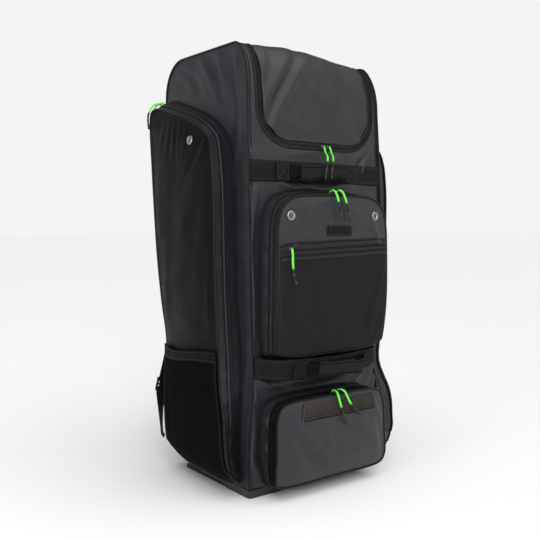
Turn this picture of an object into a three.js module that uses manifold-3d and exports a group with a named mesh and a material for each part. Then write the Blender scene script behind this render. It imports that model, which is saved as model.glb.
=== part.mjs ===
// A stand-up cricket kit bag of coated cloth: a tall hollow body with a zipped top flap, two long
// side compartments with mesh pockets, two front pockets, grab handles on webbing bands and two
// backpack straps. Millimetres, +Z up, the bag faces -Y, and the origin is under the middle of its base.
import * as THREE from 'three';
import { mergeVertices } from 'three/addons/utils/BufferGeometryUtils.js';
import Module from 'manifold-3d';

const wasm = await Module();
wasm.setup();

// Driving sizes of the body
const HEIGHT = 950;
const WIDTH = 380;
const DEPTH = 330;
const WALL = 2;
const CLEAR = 0.4;
const SEAM_GAP = 1.1;
const LAY_GAP = 0.7;
const BASE_HEIGHT = 18;
const BASE_WALL = 3;
const BASE_CORNER = 8;
const SKID_LENGTH = 164;
const SKID_HEIGHT = 9;
const SKID_CENTRE = 27;
const TOP_FRONT_REACH = 52;
const TOP_FRONT_DROP = 112;
const TOP_BACK_REACH = 64;
const TOP_BACK_DROP = 70;
const FRONT_CROWN = 6;
const SIDE_BELLY = 5;
const PIPING_RADIUS = 2;

// Sizes of the top flap and its zip
const FLAP_WIDTH = 320;
const FLAP_BOTTOM = 742;
const FLAP_CORNER = 78;
const FLAP_HINGE = 96;
const ZIP_WIDTH = 16;
const ZIP_THICKNESS = 1.2;
const LID_SLIDERS = { left: 9, right: 25 };

// Sizes of the pockets
const SIDE_POCKET_DEPTH = 56;
const SIDE_CROWN = 9;
const SIDE_EYELET_FORWARD = 25;
const SIDE_EYELET_DROP = 37;
const FRONT_POCKET_ACROSS = -9;
const FRONT_POCKET_WIDTH = 312;
const FRONT_POCKET_BOTTOM = 284;
const FRONT_POCKET_HEIGHT = 362;
const FRONT_POCKET_DEPTH = 58;
const FRONT_POCKET_CROWN = 8;
const FRONT_SLIDERS = { left: -14, right: 3 };
const FRONT_EYELET_LEFT = -132;
const FRONT_EYELET_RIGHT = 104;
const FRONT_EYELET_LEVEL = 591;
const BOTTOM_POCKET_ACROSS = -10;
const BOTTOM_POCKET_WIDTH = 312;
const BOTTOM_POCKET_BOTTOM = 22;
const BOTTOM_POCKET_HEIGHT = 190;
const BOTTOM_POCKET_DEPTH = 58;
const BOTTOM_POCKET_CROWN = 8;
const BOTTOM_SLIDERS = { left: -3, right: 13 };
const VENT_LEFT = -98;
const VENT_RIGHT = 98;
const VENT_BOTTOM = 163;
const VENT_TOP = 194;
const SLIP_SLIDER_ACROSS = -136;
const SLIP_SLIDER_LEVEL = 524;
const MESH_BULGE = 11;
const HEM_HEIGHT = 24;

// Sizes of the webbing, straps and fittings
const BAND_HEIGHT = 44;
const UPPER_BAND_LEVEL = 684;
const LOWER_BAND_LEVEL = 273;
const GRIP_LENGTH = 124;
const GRIP_HEIGHT = 33;
const GRIP_THICKNESS = 9;
const UPPER_HANDLE_ACROSS = -8;
const LOWER_HANDLE_ACROSS = 6;
const WEBBING_WIDTH = 25;
const WEBBING_THICKNESS = 1.6;
const STRAP_WIDTH = 62;
const STRAP_THICKNESS = 12;
const LOCK_WIDTH = 36;
const LOCK_LENGTH = 32;
const LOCK_THICKNESS = 4;
const LOCK_BAR = 5;
const TAIL_LENGTH = 112;
const TAB_ACROSS = 168;
const TAB_LEVEL = 140;
const TAB_ROOT_WIDTH = 52;
const EYELET_OUTER = 10;
const EYELET_BORE = 5.5;
const EYELET_HEIGHT = 2.4;
const LABEL_WIDTH = 66;
const LABEL_HEIGHT = 21;
const LABEL_ACROSS = -6;
const LABEL_LEVEL = 560;
const CORD_RADIUS = 2;
const SLIDER_LENGTH = 11;
const SLIDER_WIDTH = 8;
const SLIDER_HEIGHT = 3.5;
const SLIDER_SEAT = 0.8;

// Shares of a pocket: where its zip starts across its gusset, and where the slip panel and its zip
// end up its face
const ZIP_SHARE = 0.5;
const SLIP_TOP = 0.52;
const SLIP_ZIP_SHARE = 0.06;

// Rows and columns of the cloth
const FRONT_ROWS = 13;
const CORNER_ROWS = 5;
const TOP_ROWS = 3;
const BAND_COLUMNS = 6;
const SIDE_SHARES = [0, 0.09, 0.18, 0.27, 0.37, 0.48, 0.62, 0.78, 1];
const UPPER_BAND_COLUMNS = 12;
const LOWER_BAND_COLUMNS = 16;
const GRIP_STEPS = 14;
const PAD_STEPS = 12;

// Body sections: level is a share of HEIGHT, front and back of DEPTH, left and right of half of WIDTH
const BODY = [
  { level: 0, front: -0.448, back: 0.455, left: 1.005, right: 1 },
  { level: 0.105, front: -0.448, back: 0.467, left: 1.015, right: 1.005 },
  { level: 0.21, front: -0.439, back: 0.482, left: 0.96, right: 0.945 },
  { level: 0.29, front: -0.433, back: 0.494, left: 0.94, right: 0.905 },
  { level: 0.44, front: -0.448, back: 0.515, left: 0.985, right: 0.98 },
  { level: 0.63, front: -0.445, back: 0.539, left: 0.995, right: 0.985 },
  { level: 0.77, front: -0.43, back: 0.56, left: 0.99, right: 0.975 },
  { level: 0.88, front: -0.415, back: 0.576, left: 0.985, right: 0.96 },
  { level: 1, front: -0.415, back: 0.576, left: 0.955, right: 0.93 },
];

// Soft dents of the front: across is a share of half of WIDTH, level and length of HEIGHT,
// width and depth are shares of FRONT_CROWN, and turn is in degrees from upright
const FRONT_DENTS = [
  { across: 0.82, level: 0.735, length: 0.03, width: 1.6, depth: 0.5, turn: 12 },
  { across: 0.62, level: 0.742, length: 0.025, width: 1.6, depth: 0.4, turn: -14 },
  { across: -0.6, level: 0.235, length: 0.03, width: 2.4, depth: 0.5, turn: -35 },
  { across: -0.93, level: 0.55, length: 0.05, width: 1.6, depth: 0.3, turn: 25 },
  { across: 0.3, level: 0.238, length: 0.05, width: 1.8, depth: 0.5, turn: 84 },
];

// Folds fanning down from the top front corner of each side: along is a share of DEPTH from the
// middle, level and length of HEIGHT, width and depth are shares of SIDE_BELLY
const SIDE_DENTS = [
  { along: -0.2, level: 0.93, length: 0.075, width: 3.8, depth: 1.6, turn: 12 },
  { along: -0.02, level: 0.94, length: 0.065, width: 4, depth: 1.5, turn: 28 },
  { along: 0.17, level: 0.94, length: 0.05, width: 4, depth: 1.2, turn: 42 },
  { along: -0.26, level: 0.845, length: 0.05, width: 3.4, depth: 1.1, turn: -18 },
  { along: 0.33, level: 0.935, length: 0.03, width: 4, depth: 0.8, turn: 58 },
];

// Stations round a side pocket from its low front corner up, back and down. Seam and face
// places along are shares of DEPTH, their levels of HEIGHT, and lift of SIDE_POCKET_DEPTH.
const SIDE_POCKET = [
  { seamAlong: -0.34, seamLevel: 0.029, faceAlong: -0.388, faceLevel: 0.036, lift: 0.38 },
  { seamAlong: -0.321, seamLevel: 0.078, faceAlong: -0.43, faceLevel: 0.076, lift: 0.82 },
  { seamAlong: -0.312, seamLevel: 0.12, faceAlong: -0.421, faceLevel: 0.12, lift: 0.93 },
  { seamAlong: -0.324, seamLevel: 0.179, faceAlong: -0.397, faceLevel: 0.175, lift: 1 },
  { seamAlong: -0.318, seamLevel: 0.247, faceAlong: -0.315, faceLevel: 0.247, lift: 0.93 },
  { seamAlong: -0.312, seamLevel: 0.313, faceAlong: -0.318, faceLevel: 0.313, lift: 1 },
  { seamAlong: -0.31, seamLevel: 0.4, faceAlong: -0.327, faceLevel: 0.4, lift: 1 },
  { seamAlong: -0.306, seamLevel: 0.526, faceAlong: -0.326, faceLevel: 0.526, lift: 1 },
  { seamAlong: -0.294, seamLevel: 0.653, faceAlong: -0.327, faceLevel: 0.65, lift: 1.02 },
  { seamAlong: -0.28, seamLevel: 0.71, faceAlong: -0.318, faceLevel: 0.705, lift: 1.04 },
  { seamAlong: -0.255, seamLevel: 0.765, faceAlong: -0.3, faceLevel: 0.752, lift: 1.04 },
  { seamAlong: -0.203, seamLevel: 0.805, faceAlong: -0.262, faceLevel: 0.787, lift: 1 },
  { seamAlong: -0.085, seamLevel: 0.838, faceAlong: -0.15, faceLevel: 0.818, lift: 1 },
  { seamAlong: 0.1, seamLevel: 0.866, faceAlong: 0.045, faceLevel: 0.845, lift: 1 },
  { seamAlong: 0.315, seamLevel: 0.89, faceAlong: 0.227, faceLevel: 0.862, lift: 1 },
  { seamAlong: 0.48, seamLevel: 0.904, faceAlong: 0.4, faceLevel: 0.875, lift: 1 },
  { seamAlong: 0.545, seamLevel: 0.88, faceAlong: 0.49, faceLevel: 0.855, lift: 0.98 },
  { seamAlong: 0.53, seamLevel: 0.737, faceAlong: 0.475, faceLevel: 0.737, lift: 0.95 },
  { seamAlong: 0.51, seamLevel: 0.547, faceAlong: 0.445, faceLevel: 0.547, lift: 0.86 },
  { seamAlong: 0.496, seamLevel: 0.421, faceAlong: 0.432, faceLevel: 0.421, lift: 0.74 },
  { seamAlong: 0.48, seamLevel: 0.316, faceAlong: 0.426, faceLevel: 0.316, lift: 0.66 },
  { seamAlong: 0.466, seamLevel: 0.189, faceAlong: 0.43, faceLevel: 0.189, lift: 0.66 },
  { seamAlong: 0.435, seamLevel: 0.084, faceAlong: 0.42, faceLevel: 0.084, lift: 0.48 },
  { seamAlong: 0.42, seamLevel: 0.032, faceAlong: 0.41, faceLevel: 0.037, lift: 0.32 },
  { seamAlong: 0.05, seamLevel: 0.026, faceAlong: 0.02, faceLevel: 0.036, lift: 0.36 },
];
const SIDE_CORNERS = [0, 11, 16, 23];
const SIDE_ZIP_ENDS = [0.8, 16];
const SIDE_ZIP_SPAN = [0.36, 0.62];
const SIDE_SLIDER_STATIONS = { inner: 15, outer: 15.35 };

// The mesh pocket's hem: along is a share of DEPTH, level of HEIGHT
const HEM = [
  { along: -0.34, level: 0.328 },
  { along: -0.08, level: 0.319 },
  { along: 0.1, level: 0.311 },
  { along: 0.26, level: 0.307 },
  { along: 0.45, level: 0.312 },
];

// Stations round the left half of a front pocket, from the middle of its bottom to the middle of
// its top. Across is a share of half its width, level of its height and lift of its depth.
const FRONT_POCKET = [
  { seamAcross: 0, seamLevel: -0.03, faceAcross: 0, faceLevel: 0.045, lift: 0.9 },
  { seamAcross: 0.55, seamLevel: -0.03, faceAcross: 0.55, faceLevel: 0.045, lift: 0.9 },
  { seamAcross: 0.91, seamLevel: 0.03, faceAcross: 0.91, faceLevel: 0.07, lift: 0.88 },
  { seamAcross: 0.97, seamLevel: 0.1, faceAcross: 0.975, faceLevel: 0.12, lift: 0.93 },
  { seamAcross: 1, seamLevel: 0.35, faceAcross: 0.99, faceLevel: 0.35, lift: 1 },
  { seamAcross: 0.995, seamLevel: 0.66, faceAcross: 0.985, faceLevel: 0.65, lift: 1 },
  { seamAcross: 0.965, seamLevel: 0.83, faceAcross: 0.96, faceLevel: 0.815, lift: 1 },
  { seamAcross: 0.87, seamLevel: 0.925, faceAcross: 0.87, faceLevel: 0.9, lift: 1 },
  { seamAcross: 0.67, seamLevel: 0.98, faceAcross: 0.67, faceLevel: 0.95, lift: 1 },
  { seamAcross: 0.3, seamLevel: 1, faceAcross: 0.3, faceLevel: 0.962, lift: 1 },
  { seamAcross: 0, seamLevel: 1, faceAcross: 0, faceLevel: 0.965, lift: 1 },
];
const BOTTOM_POCKET = [
  { seamAcross: 0, seamLevel: 0, faceAcross: 0, faceLevel: 0.05, lift: 0.95 },
  { seamAcross: 0.6, seamLevel: 0, faceAcross: 0.6, faceLevel: 0.045, lift: 0.97 },
  { seamAcross: 0.9, seamLevel: 0.02, faceAcross: 0.93, faceLevel: 0.06, lift: 0.93 },
  { seamAcross: 0.975, seamLevel: 0.18, faceAcross: 1, faceLevel: 0.18, lift: 1 },
  { seamAcross: 1, seamLevel: 0.43, faceAcross: 0.985, faceLevel: 0.4, lift: 1 },
  { seamAcross: 0.98, seamLevel: 0.7, faceAcross: 0.975, faceLevel: 0.72, lift: 1 },
  { seamAcross: 0.94, seamLevel: 0.85, faceAcross: 0.94, faceLevel: 0.85, lift: 1 },
  { seamAcross: 0.87, seamLevel: 0.93, faceAcross: 0.88, faceLevel: 0.92, lift: 1 },
  { seamAcross: 0.72, seamLevel: 0.975, faceAcross: 0.72, faceLevel: 0.96, lift: 1 },
  { seamAcross: 0.4, seamLevel: 1, faceAcross: 0.4, faceLevel: 0.97, lift: 1 },
  { seamAcross: 0, seamLevel: 1, faceAcross: 0, faceLevel: 0.97, lift: 1 },
];
const POCKET_CORNERS = [2.5, 7, 13, 17.5];

// The lower band from left to right: across is a share of half of WIDTH, top and bottom are
// shares of FRONT_POCKET_DEPTH that its edges stand off the front, sag is a share of BAND_HEIGHT
const LOWER_BAND = [
  { across: -1, top: 0, bottom: 0, sag: 0 },
  { across: -0.95, top: 0.2, bottom: 0.15, sag: 0 },
  { across: -0.88, top: 0.68, bottom: 0.5, sag: 0 },
  { across: -0.6, top: 0.84, bottom: 0.62, sag: 0.1 },
  { across: -0.2, top: 0.87, bottom: 0.66, sag: 0.22 },
  { across: 0.2, top: 0.87, bottom: 0.66, sag: 0.22 },
  { across: 0.52, top: 0.84, bottom: 0.62, sag: 0.1 },
  { across: 0.76, top: 0.7, bottom: 0.52, sag: 0 },
  { across: 0.87, top: 0.2, bottom: 0.15, sag: 0 },
  { across: 1, top: 0, bottom: 0, sag: 0 },
];

// A grab handle from one stitched end to the other: across is a share of GRIP_LENGTH from its
// middle, off is the share of GRIP_THICKNESS that it stands off the band, height and thickness
// blend from the webbing (0) to the wrapped grip (1)
const HANDLE = [
  { across: -0.93, off: 0.04, wrap: 0 },
  { across: -0.66, off: 0.04, wrap: 0 },
  { across: -0.56, off: 1.5, wrap: 0.3 },
  { across: -0.48, off: 2, wrap: 1 },
  { across: 0, off: 2.2, wrap: 1 },
  { across: 0.48, off: 2, wrap: 1 },
  { across: 0.56, off: 1.5, wrap: 0.3 },
  { across: 0.66, off: 0.04, wrap: 0 },
  { across: 0.93, off: 0.04, wrap: 0 },
];

// A shoulder strap down the back, then its webbing: across is a share of half of WIDTH, level of
// HEIGHT, off is the share of STRAP_THICKNESS that it stands off the back, width a share of its own
const SHOULDER_STRAP = [
  { across: 0.36, level: 0.905, off: -0.04, width: 0.9 },
  { across: 0.38, level: 0.86, off: 0.45, width: 1 },
  { across: 0.45, level: 0.74, off: 0.7, width: 1 },
  { across: 0.56, level: 0.62, off: 0.7, width: 0.95 },
  { across: 0.67, level: 0.53, off: 0.5, width: 0.8 },
  { across: 0.73, level: 0.48, off: 0.3, width: 0.6 },
];

// The lock at the low end of each strap, where the webbing comes to it
const LOCK_ACROSS = 213;
const LOCK_LEVEL = 190;
const LOCK_OFF = 16;
const LOCK_TURN = 14;

// The way of the webbing through a lock: down it from its middle as shares of its length, and out
// of it as shares of the webbing's stand
const THREADING = [
  { down: -0.62, out: 1.1 },
  { down: -0.35, out: 1.1 },
  { down: -0.21, out: 0 },
  { down: -0.09, out: -1.1 },
  { down: 0.09, out: -1.1 },
  { down: 0.21, out: 0 },
  { down: 0.35, out: 1.1 },
  { down: 0.62, out: 1.1 },
];

// Where the pull cords hang, each a list of points by hand from just off its slider down
const PULL_ROUTES = {
  lid_pull_left: [[5, -161, 729], [-3, -177, 717], [-12, -186, 699], [-17, -188, 683], [-19, -189, 667]],
  lid_pull_right: [[22, -161, 729], [13, -177, 717], [4, -186, 699], [-1, -188, 684], [-2, -189, 668]],
  front_pull_left: [[-16, -208, 645], [-17, -218, 641], [-15, -224, 626], [-11, -226, 602], [-8, -226, 582]],
  front_pull_right: [[1, -208, 645], [3, -218, 641], [8, -224, 622], [14, -226, 598], [19, -226, 578]],
  slip_pull: [[-138, -225, 512], [-140, -228, 494], [-137, -228, 474], [-130, -227, 451]],
  bottom_pull_left: [[-5, -206, 215], [-7, -217, 211], [-5, -224, 190], [5, -226, 160], [17, -226, 140]],
  bottom_pull_right: [[13, -206, 215], [15, -217, 211], [23, -224, 189], [40, -225, 170], [60, -225, 155]],
};
const SIDE_PULL_ROUTES = {
  outer: [[227, 166, 849], [231, 173, 836], [230, 175, 820], [233, 175, 803], [237, 175, 786]],
  inner: [[228, 149, 850], [243, 153, 845], [253, 156, 829], [255, 158, 812], [253, 158, 790]],
};

const CLOTH = { color: '#3d3d42', roughness: 0.62, metalness: 0 };
const SIDE_CLOTH = { color: '#2b2b30', roughness: 0.72, metalness: 0 };
const MATT_CLOTH = { color: '#242428', roughness: 0.85, metalness: 0 };
const WEBBING = { color: '#1d1c1c', roughness: 0.9, metalness: 0 };
const TAPE = { color: '#18181a', roughness: 0.8, metalness: 0 };
const PLASTIC = { color: '#151517', roughness: 0.5, metalness: 0 };
const NICKEL = { color: '#b9b4ac', roughness: 0.3, metalness: 1 };
const CORD = { color: '#6fdf5c', roughness: 0.7, metalness: 0 };

const FRONT = new THREE.Vector3(0, -1, 0);
const ACROSS = new THREE.Vector3(1, 0, 0);
const bag = new THREE.Group();

function addPart(name, geometry, finish) {
  const mesh = new THREE.Mesh(geometry, new THREE.MeshStandardMaterial(finish));
  mesh.name = name;
  bag.add(mesh);
  return mesh;
}

// Reads a column of a table at a place between its rows, on a smooth curve through them
function read(table, key, column, at) {
  const last = table.length - 1;
  let row = 0;
  while (row < last - 1 && at > table[row + 1][key]) row += 1;
  const here = table[row];
  const next = table[row + 1];
  const before = table[Math.max(row - 1, 0)];
  const after = table[Math.min(row + 2, last)];
  const span = next[key] - here[key];
  const t = THREE.MathUtils.clamp((at - here[key]) / span, 0, 1);
  const slopeIn = (next[column] - before[column]) / (next[key] - before[key]);
  const slopeOut = (after[column] - here[column]) / (after[key] - here[key]);
  const rise = t * t * (3 - 2 * t);
  const bend = span * t * (1 - t) * (slopeIn * (1 - t) - slopeOut * t);
  return here[column] + rise * (next[column] - here[column]) + bend;
}

// How deep a table of soft dents is at a place, given in the table's own shares
function dentDepth(dents, column, place, level, placeSize, size) {
  let depth = 0;
  for (const dent of dents) {
    const dx = (place - dent[column]) * placeSize;
    const dz = (level - dent.level) * HEIGHT;
    const turn = THREE.MathUtils.degToRad(dent.turn);
    const beside = dx * Math.cos(turn) - dz * Math.sin(turn);
    const along = dx * Math.sin(turn) + dz * Math.cos(turn);
    const falloff = (beside / (dent.width * size)) ** 2 + (along / (dent.length * HEIGHT)) ** 2;
    depth += dent.depth * size * Math.exp(-falloff);
  }
  return depth;
}

// The body's shape
const SHOULDER = HEIGHT - TOP_FRONT_DROP;
const BACK_SHOULDER = HEIGHT - TOP_BACK_DROP;
const PANEL_BOTTOM = BASE_HEIGHT + CLEAR;

function ellipseRise(z, start, drop) {
  const rise = THREE.MathUtils.clamp((z - start) / drop, 0, 1);
  return 1 - Math.sqrt(Math.max(1 - rise * rise, 0));
}

function frontLine(z) {
  const base = DEPTH * read(BODY, 'level', 'front', Math.min(z, SHOULDER) / HEIGHT);
  return base + TOP_FRONT_REACH * ellipseRise(z, SHOULDER, TOP_FRONT_DROP);
}

function backLine(z) {
  const base = DEPTH * read(BODY, 'level', 'back', Math.min(z, BACK_SHOULDER) / HEIGHT);
  return base - TOP_BACK_REACH * ellipseRise(z, BACK_SHOULDER, TOP_BACK_DROP);
}

function halfWidth(z, side) {
  return (WIDTH / 2) * read(BODY, 'level', side < 0 ? 'left' : 'right', z / HEIGHT);
}

function crownShare(x, z) {
  const left = halfWidth(z, -1);
  const across = THREE.MathUtils.clamp((x + left) / (left + halfWidth(z, 1)), 0, 1);
  return 4 * across * (1 - across);
}

function frontSurface(x, z) {
  const dent = dentDepth(FRONT_DENTS, 'across', x / (WIDTH / 2), z / HEIGHT, WIDTH / 2, FRONT_CROWN);
  return frontLine(z) + crownShare(x, z) * (dent - FRONT_CROWN);
}

function sideSurface(side, y, z) {
  const front = frontLine(z);
  const across = THREE.MathUtils.clamp((y - front) / (backLine(z) - front), 0, 1);
  const edge = 4 * across * (1 - across) * Math.min(1, (HEIGHT - z) / TOP_BACK_DROP);
  const dent = dentDepth(SIDE_DENTS, 'along', y / DEPTH, z / HEIGHT, DEPTH, SIDE_BELLY);
  return halfWidth(z, side) + SIDE_BELLY * edge - dent * Math.min(1, 2 * edge);
}

// Cloth and other solids from grids of points
function gridNormal(grid, r, c, ring) {
  const rows = grid.length - 1;
  const columns = grid[0].length - 1;
  const left = ring ? grid[r][(c + columns - 1) % columns] : grid[r][Math.max(c - 1, 0)];
  const right = ring ? grid[r][(c + 1) % columns] : grid[r][Math.min(c + 1, columns)];
  const low = grid[Math.max(r - 1, 0)][c];
  const high = grid[Math.min(r + 1, rows)][c];
  const across = new THREE.Vector3().subVectors(right, left);
  const up = new THREE.Vector3().subVectors(high, low);
  return across.cross(up).normalize();
}

function geometryFrom(positions, faces) {
  const geometry = new THREE.BufferGeometry();
  geometry.setAttribute('position', new THREE.Float32BufferAttribute(positions, 3));
  let volume = 0;
  for (let i = 0; i < faces.length; i += 3) {
    const [a, b, c] = [0, 1, 2].map((k) => new THREE.Vector3().fromArray(positions, 3 * faces[i + k]));
    volume += a.dot(b.cross(c));
  }
  geometry.setIndex(volume > 0 ? faces : faces.reverse());
  return geometry;
}

// A closed sheet: the grid is its outer face and its inner face lies a wall behind it. The sign says
// on which side of the grid out is, and a ring's columns run round and meet.
function sheet(grid, wall, sign, ring = false) {
  const rows = grid.length - 1;
  const columns = grid[0].length - 1;
  const positions = [];
  const faces = [];
  const width = ring ? columns : columns + 1;
  for (const depth of [0, wall]) {
    for (let r = 0; r <= rows; r += 1) {
      for (let c = 0; c < width; c += 1) {
        const point = grid[r][c].clone().addScaledVector(gridNormal(grid, r, c, ring), -sign * depth);
        positions.push(point.x, point.y, point.z);
      }
    }
  }
  const inner = (rows + 1) * width;
  const at = (r, c) => r * width + (c % width);
  const quad = (a, b, c, d) => faces.push(a, b, c, a, c, d);
  for (let r = 0; r < rows; r += 1) {
    for (let c = 0; c < columns; c += 1) {
      quad(at(r, c), at(r, c + 1), at(r + 1, c + 1), at(r + 1, c));
      quad(inner + at(r, c), inner + at(r + 1, c), inner + at(r + 1, c + 1), inner + at(r, c + 1));
    }
  }
  for (let c = 0; c < columns; c += 1) {
    quad(at(0, c + 1), at(0, c), inner + at(0, c), inner + at(0, c + 1));
    quad(at(rows, c), at(rows, c + 1), inner + at(rows, c + 1), inner + at(rows, c));
  }
  for (let r = 0; r < rows && !ring; r += 1) {
    quad(at(r, 0), at(r + 1, 0), inner + at(r + 1, 0), inner + at(r, 0));
    quad(at(r + 1, columns), at(r, columns), inner + at(r, columns), inner + at(r + 1, columns));
  }
  return geometryFrom(positions, faces);
}

// A net: the same sheet with every second cell of every second row left open
function net(grid, wall, sign) {
  const rows = grid.length - 1;
  const columns = grid[0].length - 1;
  const positions = [];
  const faces = [];
  for (const depth of [0, wall]) {
    for (let r = 0; r <= rows; r += 1) {
      for (let c = 0; c <= columns; c += 1) {
        const point = grid[r][c].clone().addScaledVector(gridNormal(grid, r, c, false), -sign * depth);
        positions.push(point.x, point.y, point.z);
      }
    }
  }
  const inner = (rows + 1) * (columns + 1);
  const at = (r, c) => r * (columns + 1) + c;
  const solid = (r, c) => {
    const inside = r >= 0 && c >= 0 && r < rows && c < columns;
    return inside && !(r % 2 === 1 && c % 2 === 1);
  };
  const quad = (a, b, c, d) => faces.push(a, b, c, a, c, d);
  for (let r = 0; r < rows; r += 1) {
    for (let c = 0; c < columns; c += 1) {
      if (!solid(r, c)) continue;
      const [a, b, d, e] = [at(r, c), at(r, c + 1), at(r + 1, c + 1), at(r + 1, c)];
      quad(a, b, d, e);
      quad(inner + a, inner + e, inner + d, inner + b);
      if (!solid(r - 1, c)) quad(b, a, inner + a, inner + b);
      if (!solid(r + 1, c)) quad(e, d, inner + d, inner + e);
      if (!solid(r, c - 1)) quad(a, e, inner + e, inner + a);
      if (!solid(r, c + 1)) quad(d, b, inner + b, inner + d);
    }
  }
  return geometryFrom(positions, faces);
}

// A strap through four-cornered sections, each with a middle, a half width and a half thickness.
// Its two broad faces are split along the same diagonals, so that a twisted strap keeps its thickness.
function ribbon(sections) {
  const positions = [];
  const faces = [];
  for (const { middle, across, out } of sections) {
    for (const [a, o] of [[-1, -1], [1, -1], [1, 1], [-1, 1]]) {
      const corner = middle.clone().addScaledVector(across, a).addScaledVector(out, o);
      positions.push(corner.x, corner.y, corner.z);
    }
  }
  const end = 4 * (sections.length - 1);
  for (let s = 0; s < end; s += 4) {
    for (let k = 0; k < 4; k += 1) {
      const next = (k + 1) % 4;
      const [a, b, c, d] = [s + k, s + next, s + 4 + next, s + 4 + k];
      if (k < 2) faces.push(a, b, c, a, c, d);
      else faces.push(a, b, d, b, c, d);
    }
  }
  faces.push(0, 2, 1, 0, 3, 2, end, end + 1, end + 2, end, end + 2, end + 3);
  return geometryFrom(positions, faces);
}

// A curve whose sections stand at its own points, however far apart they are
class PointCurve extends THREE.CatmullRomCurve3 {
  getUtoTmapping(u) {
    return u;
  }
}

function tube(points, radius, sides, steps) {
  const outline = new THREE.Shape();
  for (let k = 0; k < sides; k += 1) {
    const angle = (2 * Math.PI * k) / sides;
    const corner = [radius * Math.cos(angle), radius * Math.sin(angle)];
    if (k === 0) outline.moveTo(...corner);
    else outline.lineTo(...corner);
  }
  const path = new PointCurve(points);
  return new THREE.ExtrudeGeometry(outline, { steps, bevelEnabled: false, extrudePath: path });
}

function boxAt(width, depth, height, x, y, z) {
  return new THREE.BoxGeometry(width, depth, height).translate(x, y, z);
}

// Cuts and joins
function solidOf(geometry) {
  const bare = geometry.clone();
  bare.deleteAttribute('normal');
  bare.deleteAttribute('uv');
  const merged = mergeVertices(bare, 1e-4);
  const vertProperties = new Float32Array(merged.attributes.position.array);
  const triVerts = new Uint32Array(merged.index.array);
  return new wasm.Manifold(new wasm.Mesh({ numProp: 3, vertProperties, triVerts }));
}

function geometryOf(solid) {
  const mesh = solid.getMesh();
  const geometry = new THREE.BufferGeometry();
  geometry.setAttribute('position', new THREE.BufferAttribute(new Float32Array(mesh.vertProperties), 3));
  geometry.setIndex(new THREE.BufferAttribute(new Uint32Array(mesh.triVerts), 1));
  return geometry;
}

// The body's front band runs from the base up the front, over the shoulder and back along the top.
// Every panel of the body has its rows at the same levels.
const LEVELS = [];
for (let i = 0; i < FRONT_ROWS; i += 1) {
  LEVELS.push(THREE.MathUtils.lerp(PANEL_BOTTOM, SHOULDER, i / FRONT_ROWS));
}
for (let i = 0; i <= CORNER_ROWS; i += 1) {
  LEVELS.push(SHOULDER + TOP_FRONT_DROP * Math.sin((Math.PI / 2) * (i / CORNER_ROWS)));
}

function frontStations(top) {
  const stations = LEVELS.map((z) => [frontLine(z), z]);
  const start = frontLine(HEIGHT);
  for (let i = 1; i <= TOP_ROWS; i += 1) {
    stations.push([THREE.MathUtils.lerp(start, top, i / TOP_ROWS), HEIGHT]);
  }
  return stations;
}

function backStations(top) {
  const stations = [[top, HEIGHT]];
  for (const z of [...LEVELS].reverse()) stations.push([backLine(z), z]);
  return stations;
}

function bandGrid(stations, columns, crown, inset) {
  return stations.map(([y, z], i) => {
    const before = stations[Math.max(i - 1, 0)];
    const after = stations[Math.min(i + 1, stations.length - 1)];
    const run = Math.hypot(after[0] - before[0], after[1] - before[1]);
    const out = [-(after[1] - before[1]) / run, (after[0] - before[0]) / run];
    const row = [];
    for (let c = 0; c <= columns; c += 1) {
      const x = THREE.MathUtils.lerp(inset - halfWidth(z, -1), halfWidth(z, 1) - inset, c / columns);
      const rise = crown(x, z, y);
      row.push(new THREE.Vector3(x, y + out[0] * rise, z + out[1] * rise));
    }
    return row;
  });
}

function frontCrown(x, z, y) {
  if (y < 0) return frontLine(z) - frontSurface(x, z);
  return FRONT_CROWN * crownShare(x, z);
}

// The flap's outline on the front and top, seen from the front, swept back as far as its hinge
function flapPrism(margin) {
  const half = FLAP_WIDTH / 2 + margin;
  const bottom = FLAP_BOTTOM - margin;
  const radius = FLAP_CORNER + margin;
  const outline = new THREE.Shape();
  outline.moveTo(-half, HEIGHT * 1.2);
  outline.lineTo(-half, bottom + radius);
  outline.absarc(radius - half, bottom + radius, radius, Math.PI, 1.5 * Math.PI, false);
  outline.lineTo(half - radius, bottom);
  outline.absarc(half - radius, bottom + radius, radius, 1.5 * Math.PI, 2 * Math.PI, false);
  outline.lineTo(half, HEIGHT * 1.2);
  const prism = new THREE.ExtrudeGeometry(outline, { depth: DEPTH, bevelEnabled: false, curveSegments: 6 });
  prism.rotateX(Math.PI / 2);
  prism.translate(0, FLAP_HINGE + margin / 2, 0);
  return solidOf(prism);
}

// Zip sliders stand on a zip's tape and are part of it: each is given its seat on the tape, the
// way along the zip and the way out, and keeps the place where its pull cord starts
const hooks = {};

function slider(pull, seat, along, out) {
  const away = out.clone().addScaledVector(along, -out.dot(along)).normalize();
  const across = away.clone().cross(along);
  const box = new THREE.BoxGeometry(SLIDER_LENGTH, SLIDER_WIDTH, SLIDER_HEIGHT);
  box.applyMatrix4(new THREE.Matrix4().makeBasis(along, across, away));
  const place = seat.clone().addScaledVector(away, SLIDER_HEIGHT / 2 - SLIDER_SEAT);
  hooks[pull] = place.clone().addScaledVector(away, SLIDER_HEIGHT / 2 + CORD_RADIUS + CLEAR);
  return solidOf(box.translate(place.x, place.y, place.z));
}

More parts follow.
